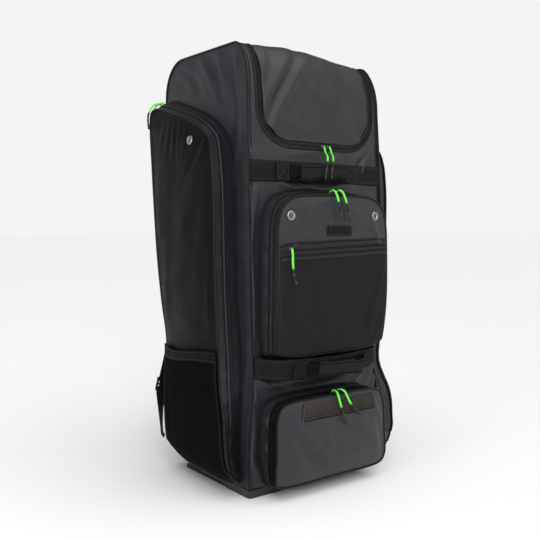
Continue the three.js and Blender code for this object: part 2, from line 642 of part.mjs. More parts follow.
function buildBand() {
  const inset = WALL + CLEAR;
  const stations = frontStations(FLAP_HINGE + ZIP_WIDTH);
  const band = solidOf(sheet(bandGrid(stations, BAND_COLUMNS, frontCrown, inset), WALL, 1));
  const edge = ZIP_WIDTH / 2;
  addPart('front_panel', geometryOf(band.subtract(flapPrism(edge))), CLOTH);
  addPart('lid_flap', geometryOf(band.intersect(flapPrism(-edge))), CLOTH);
  const recessed = (x, z, y) => frontCrown(x, z, y) - CLEAR;
  const tape = solidOf(sheet(bandGrid(stations, BAND_COLUMNS, recessed, inset), ZIP_THICKNESS, 1));
  let zip = tape.intersect(flapPrism(edge - CLEAR)).subtract(flapPrism(CLEAR - edge));
  for (const [end, x] of Object.entries(LID_SLIDERS)) {
    const seat = new THREE.Vector3(x, frontSurface(x, FLAP_BOTTOM), FLAP_BOTTOM);
    zip = zip.add(slider(`lid_pull_${end}`, seat, ACROSS, FRONT));
  }
  addPart('lid_zip', geometryOf(zip), TAPE);
  const back = backStations(FLAP_HINGE + ZIP_WIDTH + CLEAR);
  const backCrown = (x, z) => FRONT_CROWN * crownShare(x, z) * ellipseRise(z, BACK_SHOULDER, TOP_BACK_DROP);
  addPart('back_panel', sheet(bandGrid(back, 4, backCrown, inset), WALL, 1), SIDE_CLOTH);
}

function buildSidePanel(side) {
  const grid = LEVELS.map((z) => SIDE_SHARES.map((share) => {
    const y = THREE.MathUtils.lerp(frontLine(z), backLine(z), share);
    return new THREE.Vector3(side * sideSurface(side, y, z), y, z);
  }));
  return sheet(grid, WALL, side);
}

// How far out the side panel's own facets lie, for what is sewn on it
function onSidePanel(side, y, z) {
  let row = 0;
  while (row < LEVELS.length - 2 && z > LEVELS[row + 1]) row += 1;
  const [low, high] = [LEVELS[row], LEVELS[row + 1]];
  const rise = (z - low) / (high - low);
  const front = THREE.MathUtils.lerp(frontLine(low), frontLine(high), rise);
  const back = THREE.MathUtils.lerp(backLine(low), backLine(high), rise);
  const along = THREE.MathUtils.clamp((y - front) / (back - front), 0, 1);
  let column = 0;
  while (column < SIDE_SHARES.length - 2 && along > SIDE_SHARES[column + 1]) column += 1;
  const run = (along - SIDE_SHARES[column]) / (SIDE_SHARES[column + 1] - SIDE_SHARES[column]);
  const corner = (level, step) => {
    const place = THREE.MathUtils.lerp(frontLine(level), backLine(level), SIDE_SHARES[column + step]);
    return sideSurface(side, place, level);
  };
  const [a, b, c, d] = [corner(low, 0), corner(low, 1), corner(high, 1), corner(high, 0)];
  return run > rise ? a + run * (b - a) + rise * (c - b) : a + rise * (d - a) + run * (c - d);
}

// Piping runs up the front seam of each side, over the top and down the back
function buildPiping(side) {
  const points = [];
  const stand = (PIPING_RADIUS + LAY_GAP) / Math.SQRT2;
  const seam = [...frontStations(backLine(HEIGHT)), ...backStations(0).slice(2)];
  seam.forEach(([y, z], i) => {
    const before = seam[Math.max(i - 1, 0)];
    const after = seam[Math.min(i + 1, seam.length - 1)];
    const run = Math.hypot(after[0] - before[0], after[1] - before[1]);
    const x = side * (halfWidth(z, side) + stand);
    const out = [-(after[1] - before[1]) / run, (after[0] - before[0]) / run];
    points.push(new THREE.Vector3(x, y + stand * out[0], z + stand * out[1]));
  });
  return tube(points, PIPING_RADIUS, 4, points.length - 1);
}

function buildBase() {
  const left = -halfWidth(0, -1);
  const right = halfWidth(0, 1);
  const front = frontLine(0);
  const back = backLine(0);
  const outline = (inset) => {
    const shape = new THREE.Shape();
    const r = BASE_CORNER - inset;
    const corners = [[right, back, 0], [left, back, 90], [left, front, 180], [right, front, 270]];
    for (const [x, y, turn] of corners) {
      const start = THREE.MathUtils.degToRad(turn);
      const cx = x - Math.sign(x) * BASE_CORNER;
      const cy = y - Math.sign(y) * BASE_CORNER;
      shape.absarc(cx, cy, r, start, start + Math.PI / 2, false);
    }
    return shape;
  };
  const raise = (shape, height, z) => {
    const options = { depth: height, bevelEnabled: false, curveSegments: 4 };
    return solidOf(new THREE.ExtrudeGeometry(shape, options).translate(0, 0, z));
  };
  const arch = boxAt(2 * WIDTH, SKID_LENGTH + 2 * CLEAR, 2 * SKID_HEIGHT, 0, SKID_CENTRE, 0);
  let boot = raise(outline(0), BASE_HEIGHT, 0);
  boot = boot.subtract(raise(outline(BASE_WALL), BASE_HEIGHT, BASE_WALL)).subtract(solidOf(arch));
  addPart('base_boot', geometryOf(boot), CLOTH);
  const skidWidth = right - left - 2 * BASE_WALL;
  const skidHeight = SKID_HEIGHT - CLEAR;
  const skid = boxAt(skidWidth, SKID_LENGTH, skidHeight, (left + right) / 2, SKID_CENTRE, skidHeight / 2);
  addPart('base_skid', skid, PLASTIC);
}

// A pocket from its table of stations: seam and face lines round it and the face between them
function pocketOf(rows, placeSeam, placeFace, corners) {
  const seam = new THREE.CatmullRomCurve3(rows.map(placeSeam), true, 'catmullrom', 0.5);
  const face = new THREE.CatmullRomCurve3(rows.map(placeFace), true, 'catmullrom', 0.5);
  const count = rows.length;
  const at = (curve, station) => curve.getPoint((((station % count) + count) % count) / count);
  const [lowFront, topFront, topBack, lowBack] = corners;
  const bottom = (u) => at(face, THREE.MathUtils.lerp(lowFront + count, lowBack, u));
  const top = (u) => at(face, THREE.MathUtils.lerp(topFront, topBack, u));
  const front = (v) => at(face, THREE.MathUtils.lerp(lowFront, topFront, v));
  const back = (v) => at(face, THREE.MathUtils.lerp(lowBack, topBack, v));
  const patch = (u, v) => {
    const point = bottom(u).multiplyScalar(1 - v).addScaledVector(top(u), v);
    point.addScaledVector(front(v), 1 - u).addScaledVector(back(v), u);
    point.addScaledVector(bottom(0), -(1 - u) * (1 - v)).addScaledVector(bottom(1), -u * (1 - v));
    return point.addScaledVector(top(0), -(1 - u) * v).addScaledVector(top(1), -u * v);
  };
  return { seam, face, at, patch, count, corners };
}

// A pocket's gusset at a station: its seam and face points, the span between them and the way out
function gussetAt(pocket, station) {
  const seam = pocket.at(pocket.seam, station);
  const face = pocket.at(pocket.face, station);
  const span = new THREE.Vector3().subVectors(face, seam);
  const next = pocket.at(pocket.seam, station + 0.05).sub(pocket.at(pocket.seam, station - 0.05));
  const out = span.clone().cross(next).normalize().multiplyScalar(pocket.sign);
  return { seam, face, span, out };
}

// The stations round a pocket at which its face's grid has its rim, so that all its pieces match
function rimStations(pocket, across, up) {
  const [lowFront, topFront, topBack, lowBack] = pocket.corners;
  const stations = [];
  const run = (from, to, steps) => {
    for (let i = 0; i < steps; i += 1) stations.push(THREE.MathUtils.lerp(from, to, i / steps));
  };
  run(lowFront, topFront, up);
  run(topFront, topBack, across);
  run(topBack, lowBack, up);
  run(lowBack, lowFront + pocket.count, across);
  return [...stations, lowFront + pocket.count];
}

// The strip of a pocket's gusset through some shares of its height, over some of its stations.
// It stops short of the body and of the face by its own slanting wall and a clearance.
function gussetGrid(pocket, stations, shares, lift) {
  const rows = shares.map(() => []);
  for (const station of stations) {
    const { seam, span, out } = gussetAt(pocket, station);
    const rise = span.dot(pocket.direction);
    const slant = out.dot(pocket.direction) * WALL;
    const least = (Math.max(slant, 0) + 1.5 * CLEAR) / rise;
    const most = 1 - (WALL + pocket.gap + Math.max(-slant, 0)) / rise;
    shares.forEach((share, r) => {
      const place = THREE.MathUtils.clamp(share, least, most);
      rows[r].push(seam.clone().addScaledVector(span, place).addScaledVector(out, lift));
    });
  }
  return rows;
}

// Piping round the edge of a pocket's face, with its ends butted at the foot
function edgePiping(pocket, stations) {
  const start = stations[0] + CLEAR / DEPTH;
  const route = [start, ...stations.slice(1, -1), stations[stations.length - 1] - CLEAR / DEPTH];
  const points = route.map((station) => {
    const { face, out } = gussetAt(pocket, station);
    return face.addScaledVector(out, PIPING_RADIUS + SEAM_GAP);
  });
  return tube(points, PIPING_RADIUS, 4, points.length - 1);
}

function faceGrid(patch, across, up, uRange = [0, 1], vRange = [0, 1]) {
  const grid = [];
  for (let r = 0; r <= up; r += 1) {
    const row = [];
    for (let c = 0; c <= across; c += 1) {
      const u = THREE.MathUtils.lerp(uRange[0], uRange[1], c / across);
      const v = THREE.MathUtils.lerp(vRange[0], vRange[1], r / up);
      row.push(patch(u, v));
    }
    grid.push(row);
  }
  return grid;
}

// Finds the place on a patch with a given place across and level
function locate(patch, axis, across, level) {
  let u = 0.5;
  let v = 0.5;
  for (let i = 0; i < 12; i += 1) {
    const here = patch(u, v);
    const stepU = u > 0.5 ? -0.01 : 0.01;
    const stepV = v > 0.5 ? -0.01 : 0.01;
    const du = patch(u + stepU, v).sub(here).divideScalar(stepU);
    const dv = patch(u, v + stepV).sub(here).divideScalar(stepV);
    const error = [across - here[axis], level - here.z];
    const scale = du[axis] * dv.z - dv[axis] * du.z;
    u = THREE.MathUtils.clamp(u + (error[0] * dv.z - error[1] * dv[axis]) / scale, 0.001, 0.999);
    v = THREE.MathUtils.clamp(v + (error[1] * du[axis] - error[0] * du.z) / scale, 0.001, 0.999);
  }
  return [u, v];
}

// The level of a patch's top edge at a given place across
function topLevel(patch, axis, across) {
  let low = 0;
  let high = 1;
  for (let i = 0; i < 30; i += 1) {
    const middle = (low + high) / 2;
    if (patch(middle, 1)[axis] < across) low = middle;
    else high = middle;
  }
  return patch(low, 1).z;
}

// A pocket's face swells out between its edges
function swell(patch, direction, crown) {
  return (u, v) => {
    const rise = crown * (4 * u * (1 - u)) ** 0.75 * (4 * v * (1 - v)) ** 0.75;
    return patch(u, v).addScaledVector(direction, rise);
  };
}

// A piece that lies on a patch, lifted off it along the patch's own outward direction
function lifted(patch, direction, gap) {
  return (u, v) => patch(u, v).addScaledVector(direction, gap);
}

function eyelet(point, direction) {
  const half = EYELET_HEIGHT / 2;
  const outer = [[EYELET_OUTER, -half], [EYELET_OUTER - 1, half]];
  const profile = [[EYELET_BORE, -half], ...outer, [EYELET_BORE, half], [EYELET_BORE, -half]];
  const ring = new THREE.LatheGeometry(profile.map(([r, h]) => new THREE.Vector2(r, h)), 12);
  const turn = new THREE.Quaternion().setFromUnitVectors(new THREE.Vector3(0, 1, 0), direction);
  ring.applyQuaternion(turn);
  const place = point.clone().addScaledVector(direction, half + LAY_GAP);
  return ring.translate(place.x, place.y, place.z);
}

function patchNormal(patch, u, v, direction) {
  const step = 0.02;
  const du = patch(u + step, v).sub(patch(u - step, v));
  const dv = patch(u, v + step).sub(patch(u, v - step));
  const normal = du.cross(dv).normalize();
  return normal.dot(direction) < 0 ? normal.negate() : normal;
}

// A side compartment with its zip, piping, eyelet and mesh pocket
function buildSidePocket(side) {
  const name = side < 0 ? 'left' : 'right';
  const place = (along, level, lift) => {
    const y = along * DEPTH;
    const z = level * HEIGHT;
    return new THREE.Vector3(side * (onSidePanel(side, y, z) + SEAM_GAP + lift * SIDE_POCKET_DEPTH), y, z);
  };
  const placeSeam = (row) => place(row.seamAlong, row.seamLevel, 0);
  const placeFace = (row) => place(row.faceAlong, row.faceLevel, row.lift);
  const pocket = pocketOf(SIDE_POCKET, placeSeam, placeFace, SIDE_CORNERS);
  const out = new THREE.Vector3(side, 0, 0);
  pocket.sign = side;
  pocket.gap = SEAM_GAP;
  pocket.direction = out;
  const patch = swell(pocket.patch, out, SIDE_CROWN);
  const rim = rimStations(pocket, 6, 13);
  addPart(`side_pocket_face_${name}`, sheet(faceGrid(patch, 6, 13), WALL, side), SIDE_CLOTH);
  const gusset = gussetGrid(pocket, rim, [0, ...SIDE_ZIP_SPAN, 1], 0);
  addPart(`side_pocket_gusset_${name}`, sheet(gusset, WALL, -side, true), CLOTH);
  const [zipStart, zipEnd] = SIDE_ZIP_ENDS;
  const zipStations = rim.filter((station) => station >= zipStart && station <= zipEnd);
  const lift = ZIP_THICKNESS + LAY_GAP;
  const tape = gussetGrid(pocket, zipStations, SIDE_ZIP_SPAN, lift);
  let zip = solidOf(sheet(tape, ZIP_THICKNESS, -side));
  for (const [end, station] of Object.entries(SIDE_SLIDER_STATIONS)) {
    const here = gussetAt(pocket, station);
    const ahead = pocket.at(pocket.seam, station + 0.1);
    const along = ahead.sub(pocket.at(pocket.seam, station - 0.1)).normalize();
    const middle = (SIDE_ZIP_SPAN[0] + SIDE_ZIP_SPAN[1]) / 2;
    const seat = here.seam.addScaledVector(here.span, middle).addScaledVector(here.out, lift);
    zip = zip.add(slider(`side_pull_${name}_${end}`, seat, along, here.out));
  }
  addPart(`side_pocket_zip_${name}`, geometryOf(zip), TAPE);
  addPart(`side_pocket_piping_${name}`, edgePiping(pocket, rim), TAPE);
  const level = topLevel(patch, 'y', -SIDE_EYELET_FORWARD) - SIDE_EYELET_DROP;
  const [u, v] = locate(patch, 'y', -SIDE_EYELET_FORWARD, level);
  addPart(`side_eyelet_${name}`, eyelet(patch(u, v), patchNormal(patch, u, v, out)), NICKEL);
  buildMeshPocket(side, name, patch, out);
}

function buildMeshPocket(side, name, patch, out) {
  const columns = 8;
  const rows = 9;
  const bulge = (u, w) => MESH_BULGE * Math.sin(Math.PI * u) ** 0.7 * Math.sin(Math.PI * (0.12 + 0.62 * w));
  const levelAt = (u) => {
    let v = 0.45;
    for (let i = 0; i < 8; i += 1) {
      const point = patch(u, v);
      const aim = read(HEM, 'along', 'level', point.y / DEPTH) * HEIGHT;
      v += (aim - point.z) / (patch(u, 1).z - patch(u, 0).z);
    }
    return v;
  };
  const at = (u, w, gap) => {
    const low = 0.05;
    const share = THREE.MathUtils.lerp(low, levelAt(u), w);
    return patch(u, share).addScaledVector(out, gap + bulge(u, w));
  };
  const gridOf = (w0, w1, across, up, gap) => {
    const grid = [];
    for (let r = 0; r <= up; r += 1) {
      const row = [];
      for (let c = 0; c <= across; c += 1) {
        const u = THREE.MathUtils.lerp(0.05, 0.95, c / across);
        row.push(at(u, THREE.MathUtils.lerp(w0, w1, r / up), gap));
      }
      grid.push(row);
    }
    return grid;
  };
  const gap = SEAM_GAP + ZIP_THICKNESS;
  const hemShare = HEM_HEIGHT / (HEIGHT * HEM[0].level);
  const cells = netLines(gridOf, columns, rows, 1 - hemShare - 0.004, gap);
  addPart(`mesh_pocket_${name}`, net(cells, ZIP_THICKNESS, side), MATT_CLOTH);
  const hem = gridOf(1 - hemShare, 1, columns, 1, gap + 0.4);
  addPart(`mesh_hem_${name}`, sheet(hem, WALL, side), WEBBING);
}

// Grid lines of a net, so that its strands are narrow and its gaps wide
function netLines(gridOf, columns, rows, high, gap) {
  const fine = gridOf(0, high, columns * 4, rows * 4, gap);
  const keep = (count) => {
    const lines = [0];
    for (let i = 1; i < count; i += 2) lines.push(i * 4 - 3, Math.min(i * 4 + 3, count * 4 - 1));
    lines.push(count * 4);
    return [...new Set(lines)].sort((a, b) => a - b);
  };
  return keep(rows).map((r) => keep(columns).map((c) => fine[r][c]));
}

// A pocket on the front, mirrored from its left half
function frontStationsOf(table) {
  const rows = [];
  table.forEach((row) => rows.push({ ...row, seamAcross: -row.seamAcross, faceAcross: -row.faceAcross }));
  for (let i = table.length - 2; i > 0; i -= 1) rows.push(table[i]);
  return rows;
}

function frontPocketOf(table, middle, width, bottom, height, depth) {
  const place = (across, level, lift) => {
    const x = middle + (across * width) / 2;
    const z = bottom + level * height;
    return new THREE.Vector3(x, frontSurface(x, z) - LAY_GAP - lift * depth, z);
  };
  const placeSeam = (row) => place(row.seamAcross, row.seamLevel, 0);
  const placeFace = (row) => place(row.faceAcross, row.faceLevel, row.lift);
  const pocket = pocketOf(frontStationsOf(table), placeSeam, placeFace, POCKET_CORNERS);
  pocket.sign = 1;
  pocket.gap = LAY_GAP;
  pocket.direction = FRONT;
  return pocket;
}

function buildPocketShell(name, pocket, depth, rim, sliders) {
  const strip = CLEAR / depth;
  const gusset = gussetGrid(pocket, rim, [0, ZIP_SHARE - strip], 0);
  addPart(`${name}_gusset`, sheet(gusset, WALL, -1, true), CLOTH);
  let zip = solidOf(sheet(gussetGrid(pocket, rim, [ZIP_SHARE + strip, 1], 0), WALL, -1, true));
  const { seam, span, out } = gussetAt(pocket, pocket.count / 2);
  const middle = seam.clone().addScaledVector(span, (1 + ZIP_SHARE) / 2);
  for (const [end, x] of Object.entries(sliders)) {
    const pull = name.replace('pocket', `pull_${end}`);
    zip = zip.add(slider(pull, middle.clone().setX(x), ACROSS, out));
  }
  addPart(`${name}_zip`, geometryOf(zip), TAPE);
}

function buildFrontPocket() {
  const depth = FRONT_POCKET_DEPTH;
  const pocket = frontPocketOf(
    FRONT_POCKET, FRONT_POCKET_ACROSS, FRONT_POCKET_WIDTH, FRONT_POCKET_BOTTOM, FRONT_POCKET_HEIGHT, depth,
  );
  const patch = swell(pocket.patch, FRONT, FRONT_POCKET_CROWN);
  const rim = rimStations(pocket, 8, 9);
  buildPocketShell('front_pocket', pocket, depth, rim, FRONT_SLIDERS);
  addPart('front_pocket_piping', edgePiping(pocket, rim), TAPE);
  const face = sheet(faceGrid(patch, 8, 9), WALL, 1);
  addPart('front_pocket_face', face, CLOTH);
  const slip = faceGrid(lifted(patch, FRONT, LAY_GAP + WALL), 8, 5, [0.045, 0.955], [0.04, SLIP_TOP]);
  addPart('slip_pocket_panel', sheet(slip, WALL, 1), MATT_CLOTH);
  const zipPatch = lifted(patch, FRONT, LAY_GAP + ZIP_THICKNESS);
  const zipLow = SLIP_TOP + 0.006;
  const tape = faceGrid(zipPatch, 8, 1, [0.035, 0.965], [zipLow, zipLow + SLIP_ZIP_SHARE]);
  const spot = locate(zipPatch, 'x', SLIP_SLIDER_ACROSS, SLIP_SLIDER_LEVEL);
  const slipSlider = slider('slip_pull', zipPatch(...spot), ACROSS, FRONT);
  addPart('slip_zip', geometryOf(solidOf(sheet(tape, ZIP_THICKNESS, 1)).add(slipSlider)), TAPE);
  for (const [side, x] of [['left', FRONT_EYELET_LEFT], ['right', FRONT_EYELET_RIGHT]]) {
    const [u, v] = locate(patch, 'x', x, FRONT_EYELET_LEVEL);
    addPart(`front_eyelet_${side}`, eyelet(patch(u, v), patchNormal(patch, u, v, FRONT)), NICKEL);
  }
  const low = locate(patch, 'x', LABEL_ACROSS - LABEL_WIDTH / 2, LABEL_LEVEL - LABEL_HEIGHT / 2);
  const high = locate(patch, 'x', LABEL_ACROSS + LABEL_WIDTH / 2, LABEL_LEVEL + LABEL_HEIGHT / 2);
  const label = faceGrid(zipPatch, 2, 1, [low[0], high[0]], [low[1], high[1]]);
  addPart('label_patch', sheet(label, ZIP_THICKNESS, 1), PLASTIC);
}

// The low front pocket, with a mesh vent in the top of its face
function buildBottomPocket() {
  const depth = BOTTOM_POCKET_DEPTH;
  const pocket = frontPocketOf(
    BOTTOM_POCKET, BOTTOM_POCKET_ACROSS, BOTTOM_POCKET_WIDTH, BOTTOM_POCKET_BOTTOM, BOTTOM_POCKET_HEIGHT, depth,
  );
  const patch = swell(pocket.patch, FRONT, BOTTOM_POCKET_CROWN);
  buildPocketShell('bottom_pocket', pocket, depth, rimStations(pocket, 8, 6), BOTTOM_SLIDERS);
  const vent = (margin) => {
    const [left, low] = locate(patch, 'x', VENT_LEFT - margin, VENT_BOTTOM - margin);
    const [right, high] = locate(patch, 'x', VENT_RIGHT + margin, VENT_TOP + margin);
    return { u: [left, right], v: [low, high] };
  };
  const hole = vent(0);
  const cutter = faceGrid(lifted(patch, FRONT, 3 * WALL), 4, 1, hole.u, hole.v);
  const face = solidOf(sheet(faceGrid(patch, 8, 6), WALL, 1));
  addPart('bottom_pocket_face', geometryOf(face.subtract(solidOf(sheet(cutter, 6 * WALL, 1)))), CLOTH);
  const lines = (range, count) => {
    const places = [0];
    for (let i = 0; i < count; i += 1) places.push((i + 0.25) / (count + 0.15), (i + 0.9) / (count + 0.15));
    places.push(1);
    return places.map((share) => THREE.MathUtils.lerp(range[0], range[1], share));
  };
  const behind = lifted(patch, FRONT, -WALL - SEAM_GAP);
  const seat = vent(WALL);
  const mesh = lines(seat.v, 3).map((v) => lines(seat.u, 7).map((u) => behind(u, v)));
  addPart('vent_mesh', net(mesh, ZIP_THICKNESS, 1), MATT_CLOTH);
}

// Webbing bands round the front, with grab handles. Each band gives its low and high edge at a
// place across, as a share of half of WIDTH.
function upperBandEdges(across) {
  return [-0.5, 0.5].map((share) => {
    const z = UPPER_BAND_LEVEL + share * BAND_HEIGHT;
    const x = across * (halfWidth(z, Math.sign(across)) - WALL);
    return new THREE.Vector3(x, frontSurface(x, z) - SEAM_GAP - WEBBING_THICKNESS, z);
  });
}

function lowerBandEdges(across) {
  const sag = read(LOWER_BAND, 'across', 'sag', across) * BAND_HEIGHT;
  return ['bottom', 'top'].map((edge, i) => {
    const z = LOWER_BAND_LEVEL - sag * (1 - i / 2) + (i - 0.5) * BAND_HEIGHT;
    const x = across * (halfWidth(z, Math.sign(across)) - WALL);
    const off = read(LOWER_BAND, 'across', edge, across) * FRONT_POCKET_DEPTH;
    return new THREE.Vector3(x, frontSurface(x, z) - LAY_GAP - WEBBING_THICKNESS - off, z);
  });
}

function buildBandAndHandle(place, edgesAt, columns, middle) {
  const band = [[], []];
  for (let c = 0; c <= columns; c += 1) {
    edgesAt(THREE.MathUtils.lerp(-1, 1, c / columns)).forEach((point, r) => band[r].push(point));
  }
  addPart(`${place}_band`, sheet(band, WEBBING_THICKNESS, 1), WEBBING);
  const sections = [];
  for (let i = 0; i <= GRIP_STEPS; i += 1) {
    const across = THREE.MathUtils.lerp(HANDLE[0].across, HANDLE[HANDLE.length - 1].across, i / GRIP_STEPS);
    const wrap = THREE.MathUtils.clamp(read(HANDLE, 'across', 'wrap', across), 0, 1);
    const x = middle + across * GRIP_LENGTH;
    const [low, high] = edgesAt(x / (WIDTH / 2));
    const up = new THREE.Vector3().subVectors(high, low).setX(0).normalize();
    const height = THREE.MathUtils.lerp(BAND_HEIGHT - 2 * WALL, GRIP_HEIGHT, wrap);
    const thickness = THREE.MathUtils.lerp(WEBBING_THICKNESS, GRIP_THICKNESS, wrap);
    const stand = Math.max(read(HANDLE, 'across', 'off', across), HANDLE[0].off);
    const off = stand * GRIP_THICKNESS + thickness / 2;
    sections.push({
      middle: low.add(high).multiplyScalar(0.5).setX(x).addScaledVector(FRONT, off),
      across: up.multiplyScalar(height / 2),
      out: FRONT.clone().multiplyScalar(thickness / 2),
    });
  }
  addPart(`${place}_handle`, ribbon(sections), WEBBING);
}

// The two backpack straps, their webbing, locks and tabs
function strapPlace(side, across, level, off) {
  const z = level * HEIGHT;
  return new THREE.Vector3((side * across * WIDTH) / 2, backLine(z) + SEAM_GAP + off, z);
}

function buildStraps(side) {
  const name = side < 0 ? 'left' : 'right';
  const back = new THREE.Vector3(0, 1, 0);
  const pad = [];
  const last = SHOULDER_STRAP.length - 1;
  const rows = [...SHOULDER_STRAP].reverse();
  for (let i = 0; i <= PAD_STEPS; i += 1) {
    const level = THREE.MathUtils.lerp(SHOULDER_STRAP[0].level, SHOULDER_STRAP[last].level, i / PAD_STEPS);
    const at = (column) => read(rows, 'level', column, level);
    const middle = strapPlace(side, at('across'), level, (at('off') + 0.5) * STRAP_THICKNESS);
    const ahead = strapPlace(side, read(rows, 'level', 'across', level - 0.01), level - 0.01, 0);
    const along = ahead.sub(strapPlace(side, at('across'), level, 0)).normalize();
    const across = along.clone().cross(back).normalize().multiplyScalar((at('width') * STRAP_WIDTH) / 2);
    pad.push({ middle, across, out: back.clone().multiplyScalar(STRAP_THICKNESS / 2) });
  }
  addPart(`shoulder_strap_${name}`, ribbon(pad), SIDE_CLOTH);
  buildLock(side, name, pad[pad.length - 1]);
}

function buildLock(side, name, padEnd) {
  const centre = new THREE.Vector3(side * LOCK_ACROSS, backLine(LOCK_LEVEL) + LOCK_OFF, LOCK_LEVEL);
  const turn = THREE.MathUtils.degToRad(side * LOCK_TURN);
  const down = new THREE.Vector3(Math.sin(turn), 0, -Math.cos(turn));
  const across = new THREE.Vector3(Math.cos(turn), 0, Math.sin(turn));
  const slot = (LOCK_LENGTH - 3 * LOCK_BAR) / 2;
  const slotAt = (slot + LOCK_BAR) / 2;
  let lock = solidOf(boxAt(LOCK_WIDTH, LOCK_THICKNESS, LOCK_LENGTH, 0, 0, 0));
  for (const z of [-slotAt, slotAt]) {
    lock = lock.subtract(solidOf(boxAt(LOCK_WIDTH - 1.6 * LOCK_BAR, 2 * LOCK_THICKNESS, slot, 0, 0, z)));
  }
  const buckle = addPart(`ladder_lock_${name}`, geometryOf(lock), PLASTIC);
  buckle.position.copy(centre);
  buckle.rotation.y = -turn;
  const half = LOCK_THICKNESS / 2 + CLEAR + WEBBING_THICKNESS / 2;
  const padAcross = padEnd.across.clone().normalize();
  const padDown = new THREE.Vector3(0, 1, 0).cross(padAcross);
  padDown.multiplyScalar(-Math.sign(padDown.z));
  const route = [padEnd.middle.clone().addScaledVector(padDown, 2 * CLEAR)];
  for (const place of THREADING) {
    const point = centre.clone().addScaledVector(down, place.down * LOCK_LENGTH);
    route.push(point.add(new THREE.Vector3(0, place.out * half, 0)));
  }
  const tailTop = route[route.length - 1];
  for (const share of [0.35, 0.7, 1]) {
    const swing = -side * 6 * share * share;
    route.push(tailTop.clone().add(new THREE.Vector3(swing, 4 * share, -share * TAIL_LENGTH)));
  }
  const sections = route.map((middle, i) => {
    const before = route[Math.max(i - 1, 0)];
    const after = route[Math.min(i + 1, route.length - 1)];
    const along = new THREE.Vector3().subVectors(after, before).normalize();
    const wide = i > 0 ? across.clone() : padAcross.clone().multiplyScalar(Math.sign(padAcross.dot(across)));
    const out = wide.clone().cross(along).normalize();
    const halfWide = wide.multiplyScalar(WEBBING_WIDTH / 2);
    return { middle, across: halfWide, out: out.multiplyScalar(WEBBING_THICKNESS / 2) };
  });
  addPart(`strap_webbing_${name}`, ribbon(sections), WEBBING);
  const lockFoot = centre.clone().addScaledVector(down, LOCK_LENGTH / 2 + 3 * CLEAR);
  const tabStand = SEAM_GAP + WEBBING_THICKNESS;
  const root = new THREE.Vector3(side * TAB_ACROSS, backLine(TAB_LEVEL) + tabStand, TAB_LEVEL);
  const toLock = new THREE.Vector3().subVectors(lockFoot, root);
  const tab = [0, 0.5, 1].map((share) => {
    const width = THREE.MathUtils.lerp(TAB_ROOT_WIDTH, WEBBING_WIDTH, share) / 2;
    const direction = across.clone().lerp(new THREE.Vector3(0, 0, -side), 1 - share).normalize();
    const middle = root.clone().addScaledVector(toLock, share);
    const out = new THREE.Vector3(0, WEBBING_THICKNESS / 2, 0);
    return { middle, across: direction.multiplyScalar(width), out };
  });
  addPart(`strap_tab_${name}`, ribbon(tab), WEBBING);
}

function buildPulls() {
  const cord = (name, route) => {
    const points = [hooks[name], ...route.map((point) => new THREE.Vector3(...point))];
    addPart(name, tube(points, CORD_RADIUS, 8, 6), CORD);
  };
  Object.entries(PULL_ROUTES).forEach(([name, route]) => cord(name, route));
  for (const side of [-1, 1]) {
    for (const [place, route] of Object.entries(SIDE_PULL_ROUTES)) {
      const name = `side_pull_${side < 0 ? 'left' : 'right'}_${place}`;
      cord(name, route.map(([x, y, z]) => [side * x, y, z]));
    }
  }
}

buildBand();
for (const side of [-1, 1]) {
  const name = side < 0 ? 'left' : 'right';
  addPart(`side_panel_${name}`, buildSidePanel(side), SIDE_CLOTH);
  addPart(`body_piping_${name}`, buildPiping(side), TAPE);
  buildSidePocket(side);
  buildStraps(side);
}
buildBase();
buildFrontPocket();
buildBottomPocket();
buildBandAndHandle('upper', upperBandEdges, UPPER_BAND_COLUMNS, UPPER_HANDLE_ACROSS);
buildBandAndHandle('lower', lowerBandEdges, LOWER_BAND_COLUMNS, LOWER_HANDLE_ACROSS);
buildPulls();

export default bag;
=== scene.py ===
"""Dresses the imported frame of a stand-up cricket kit bag in coated cloth, zips, webbing, nets and cords."""
import math

import bmesh
import bpy
import numpy as np
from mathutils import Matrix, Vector


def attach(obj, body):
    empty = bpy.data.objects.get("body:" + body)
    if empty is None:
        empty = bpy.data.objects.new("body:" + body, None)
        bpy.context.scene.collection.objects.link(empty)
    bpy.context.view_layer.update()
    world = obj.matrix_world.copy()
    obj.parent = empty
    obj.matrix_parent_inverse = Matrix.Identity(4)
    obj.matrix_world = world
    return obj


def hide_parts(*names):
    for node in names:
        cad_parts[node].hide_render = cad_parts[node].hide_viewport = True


bl_info = {
    "name": "Cricket kit bag",
    "version": (1, 0, 0),
    "blender": (4, 5, 0),
    "location": "3D View > Sidebar > Kit bag",
    "description": "Cloth, zips, webbing, nets and cords of a stand-up kit bag",
    "category": "Object",
}

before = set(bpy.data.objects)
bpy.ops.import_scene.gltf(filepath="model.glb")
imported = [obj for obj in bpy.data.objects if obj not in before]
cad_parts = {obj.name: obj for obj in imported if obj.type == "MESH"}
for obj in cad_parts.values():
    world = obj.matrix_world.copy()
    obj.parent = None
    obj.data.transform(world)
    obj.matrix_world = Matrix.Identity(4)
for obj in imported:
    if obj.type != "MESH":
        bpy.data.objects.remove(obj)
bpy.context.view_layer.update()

# Sizes in millimetres, the same as the frame's
MM = 0.001
HEIGHT, WIDTH, DEPTH, WALL = 950.0, 380.0, 330.0, 2.0
BASE_HEIGHT, BASE_CORNER, SKID_LENGTH, SKID_HEIGHT, SKID_CENTRE = 18.0, 8.0, 164.0, 9.0, 27.0
TOP_FRONT_REACH, TOP_FRONT_DROP, TOP_BACK_REACH, TOP_BACK_DROP = 52.0, 112.0, 64.0, 70.0
FRONT_CROWN, SIDE_BELLY = 6.0, 5.0
FLAP_WIDTH, FLAP_BOTTOM, FLAP_CORNER, FLAP_HINGE, ZIP_WIDTH = 320.0, 742.0, 78.0, 96.0, 16.0
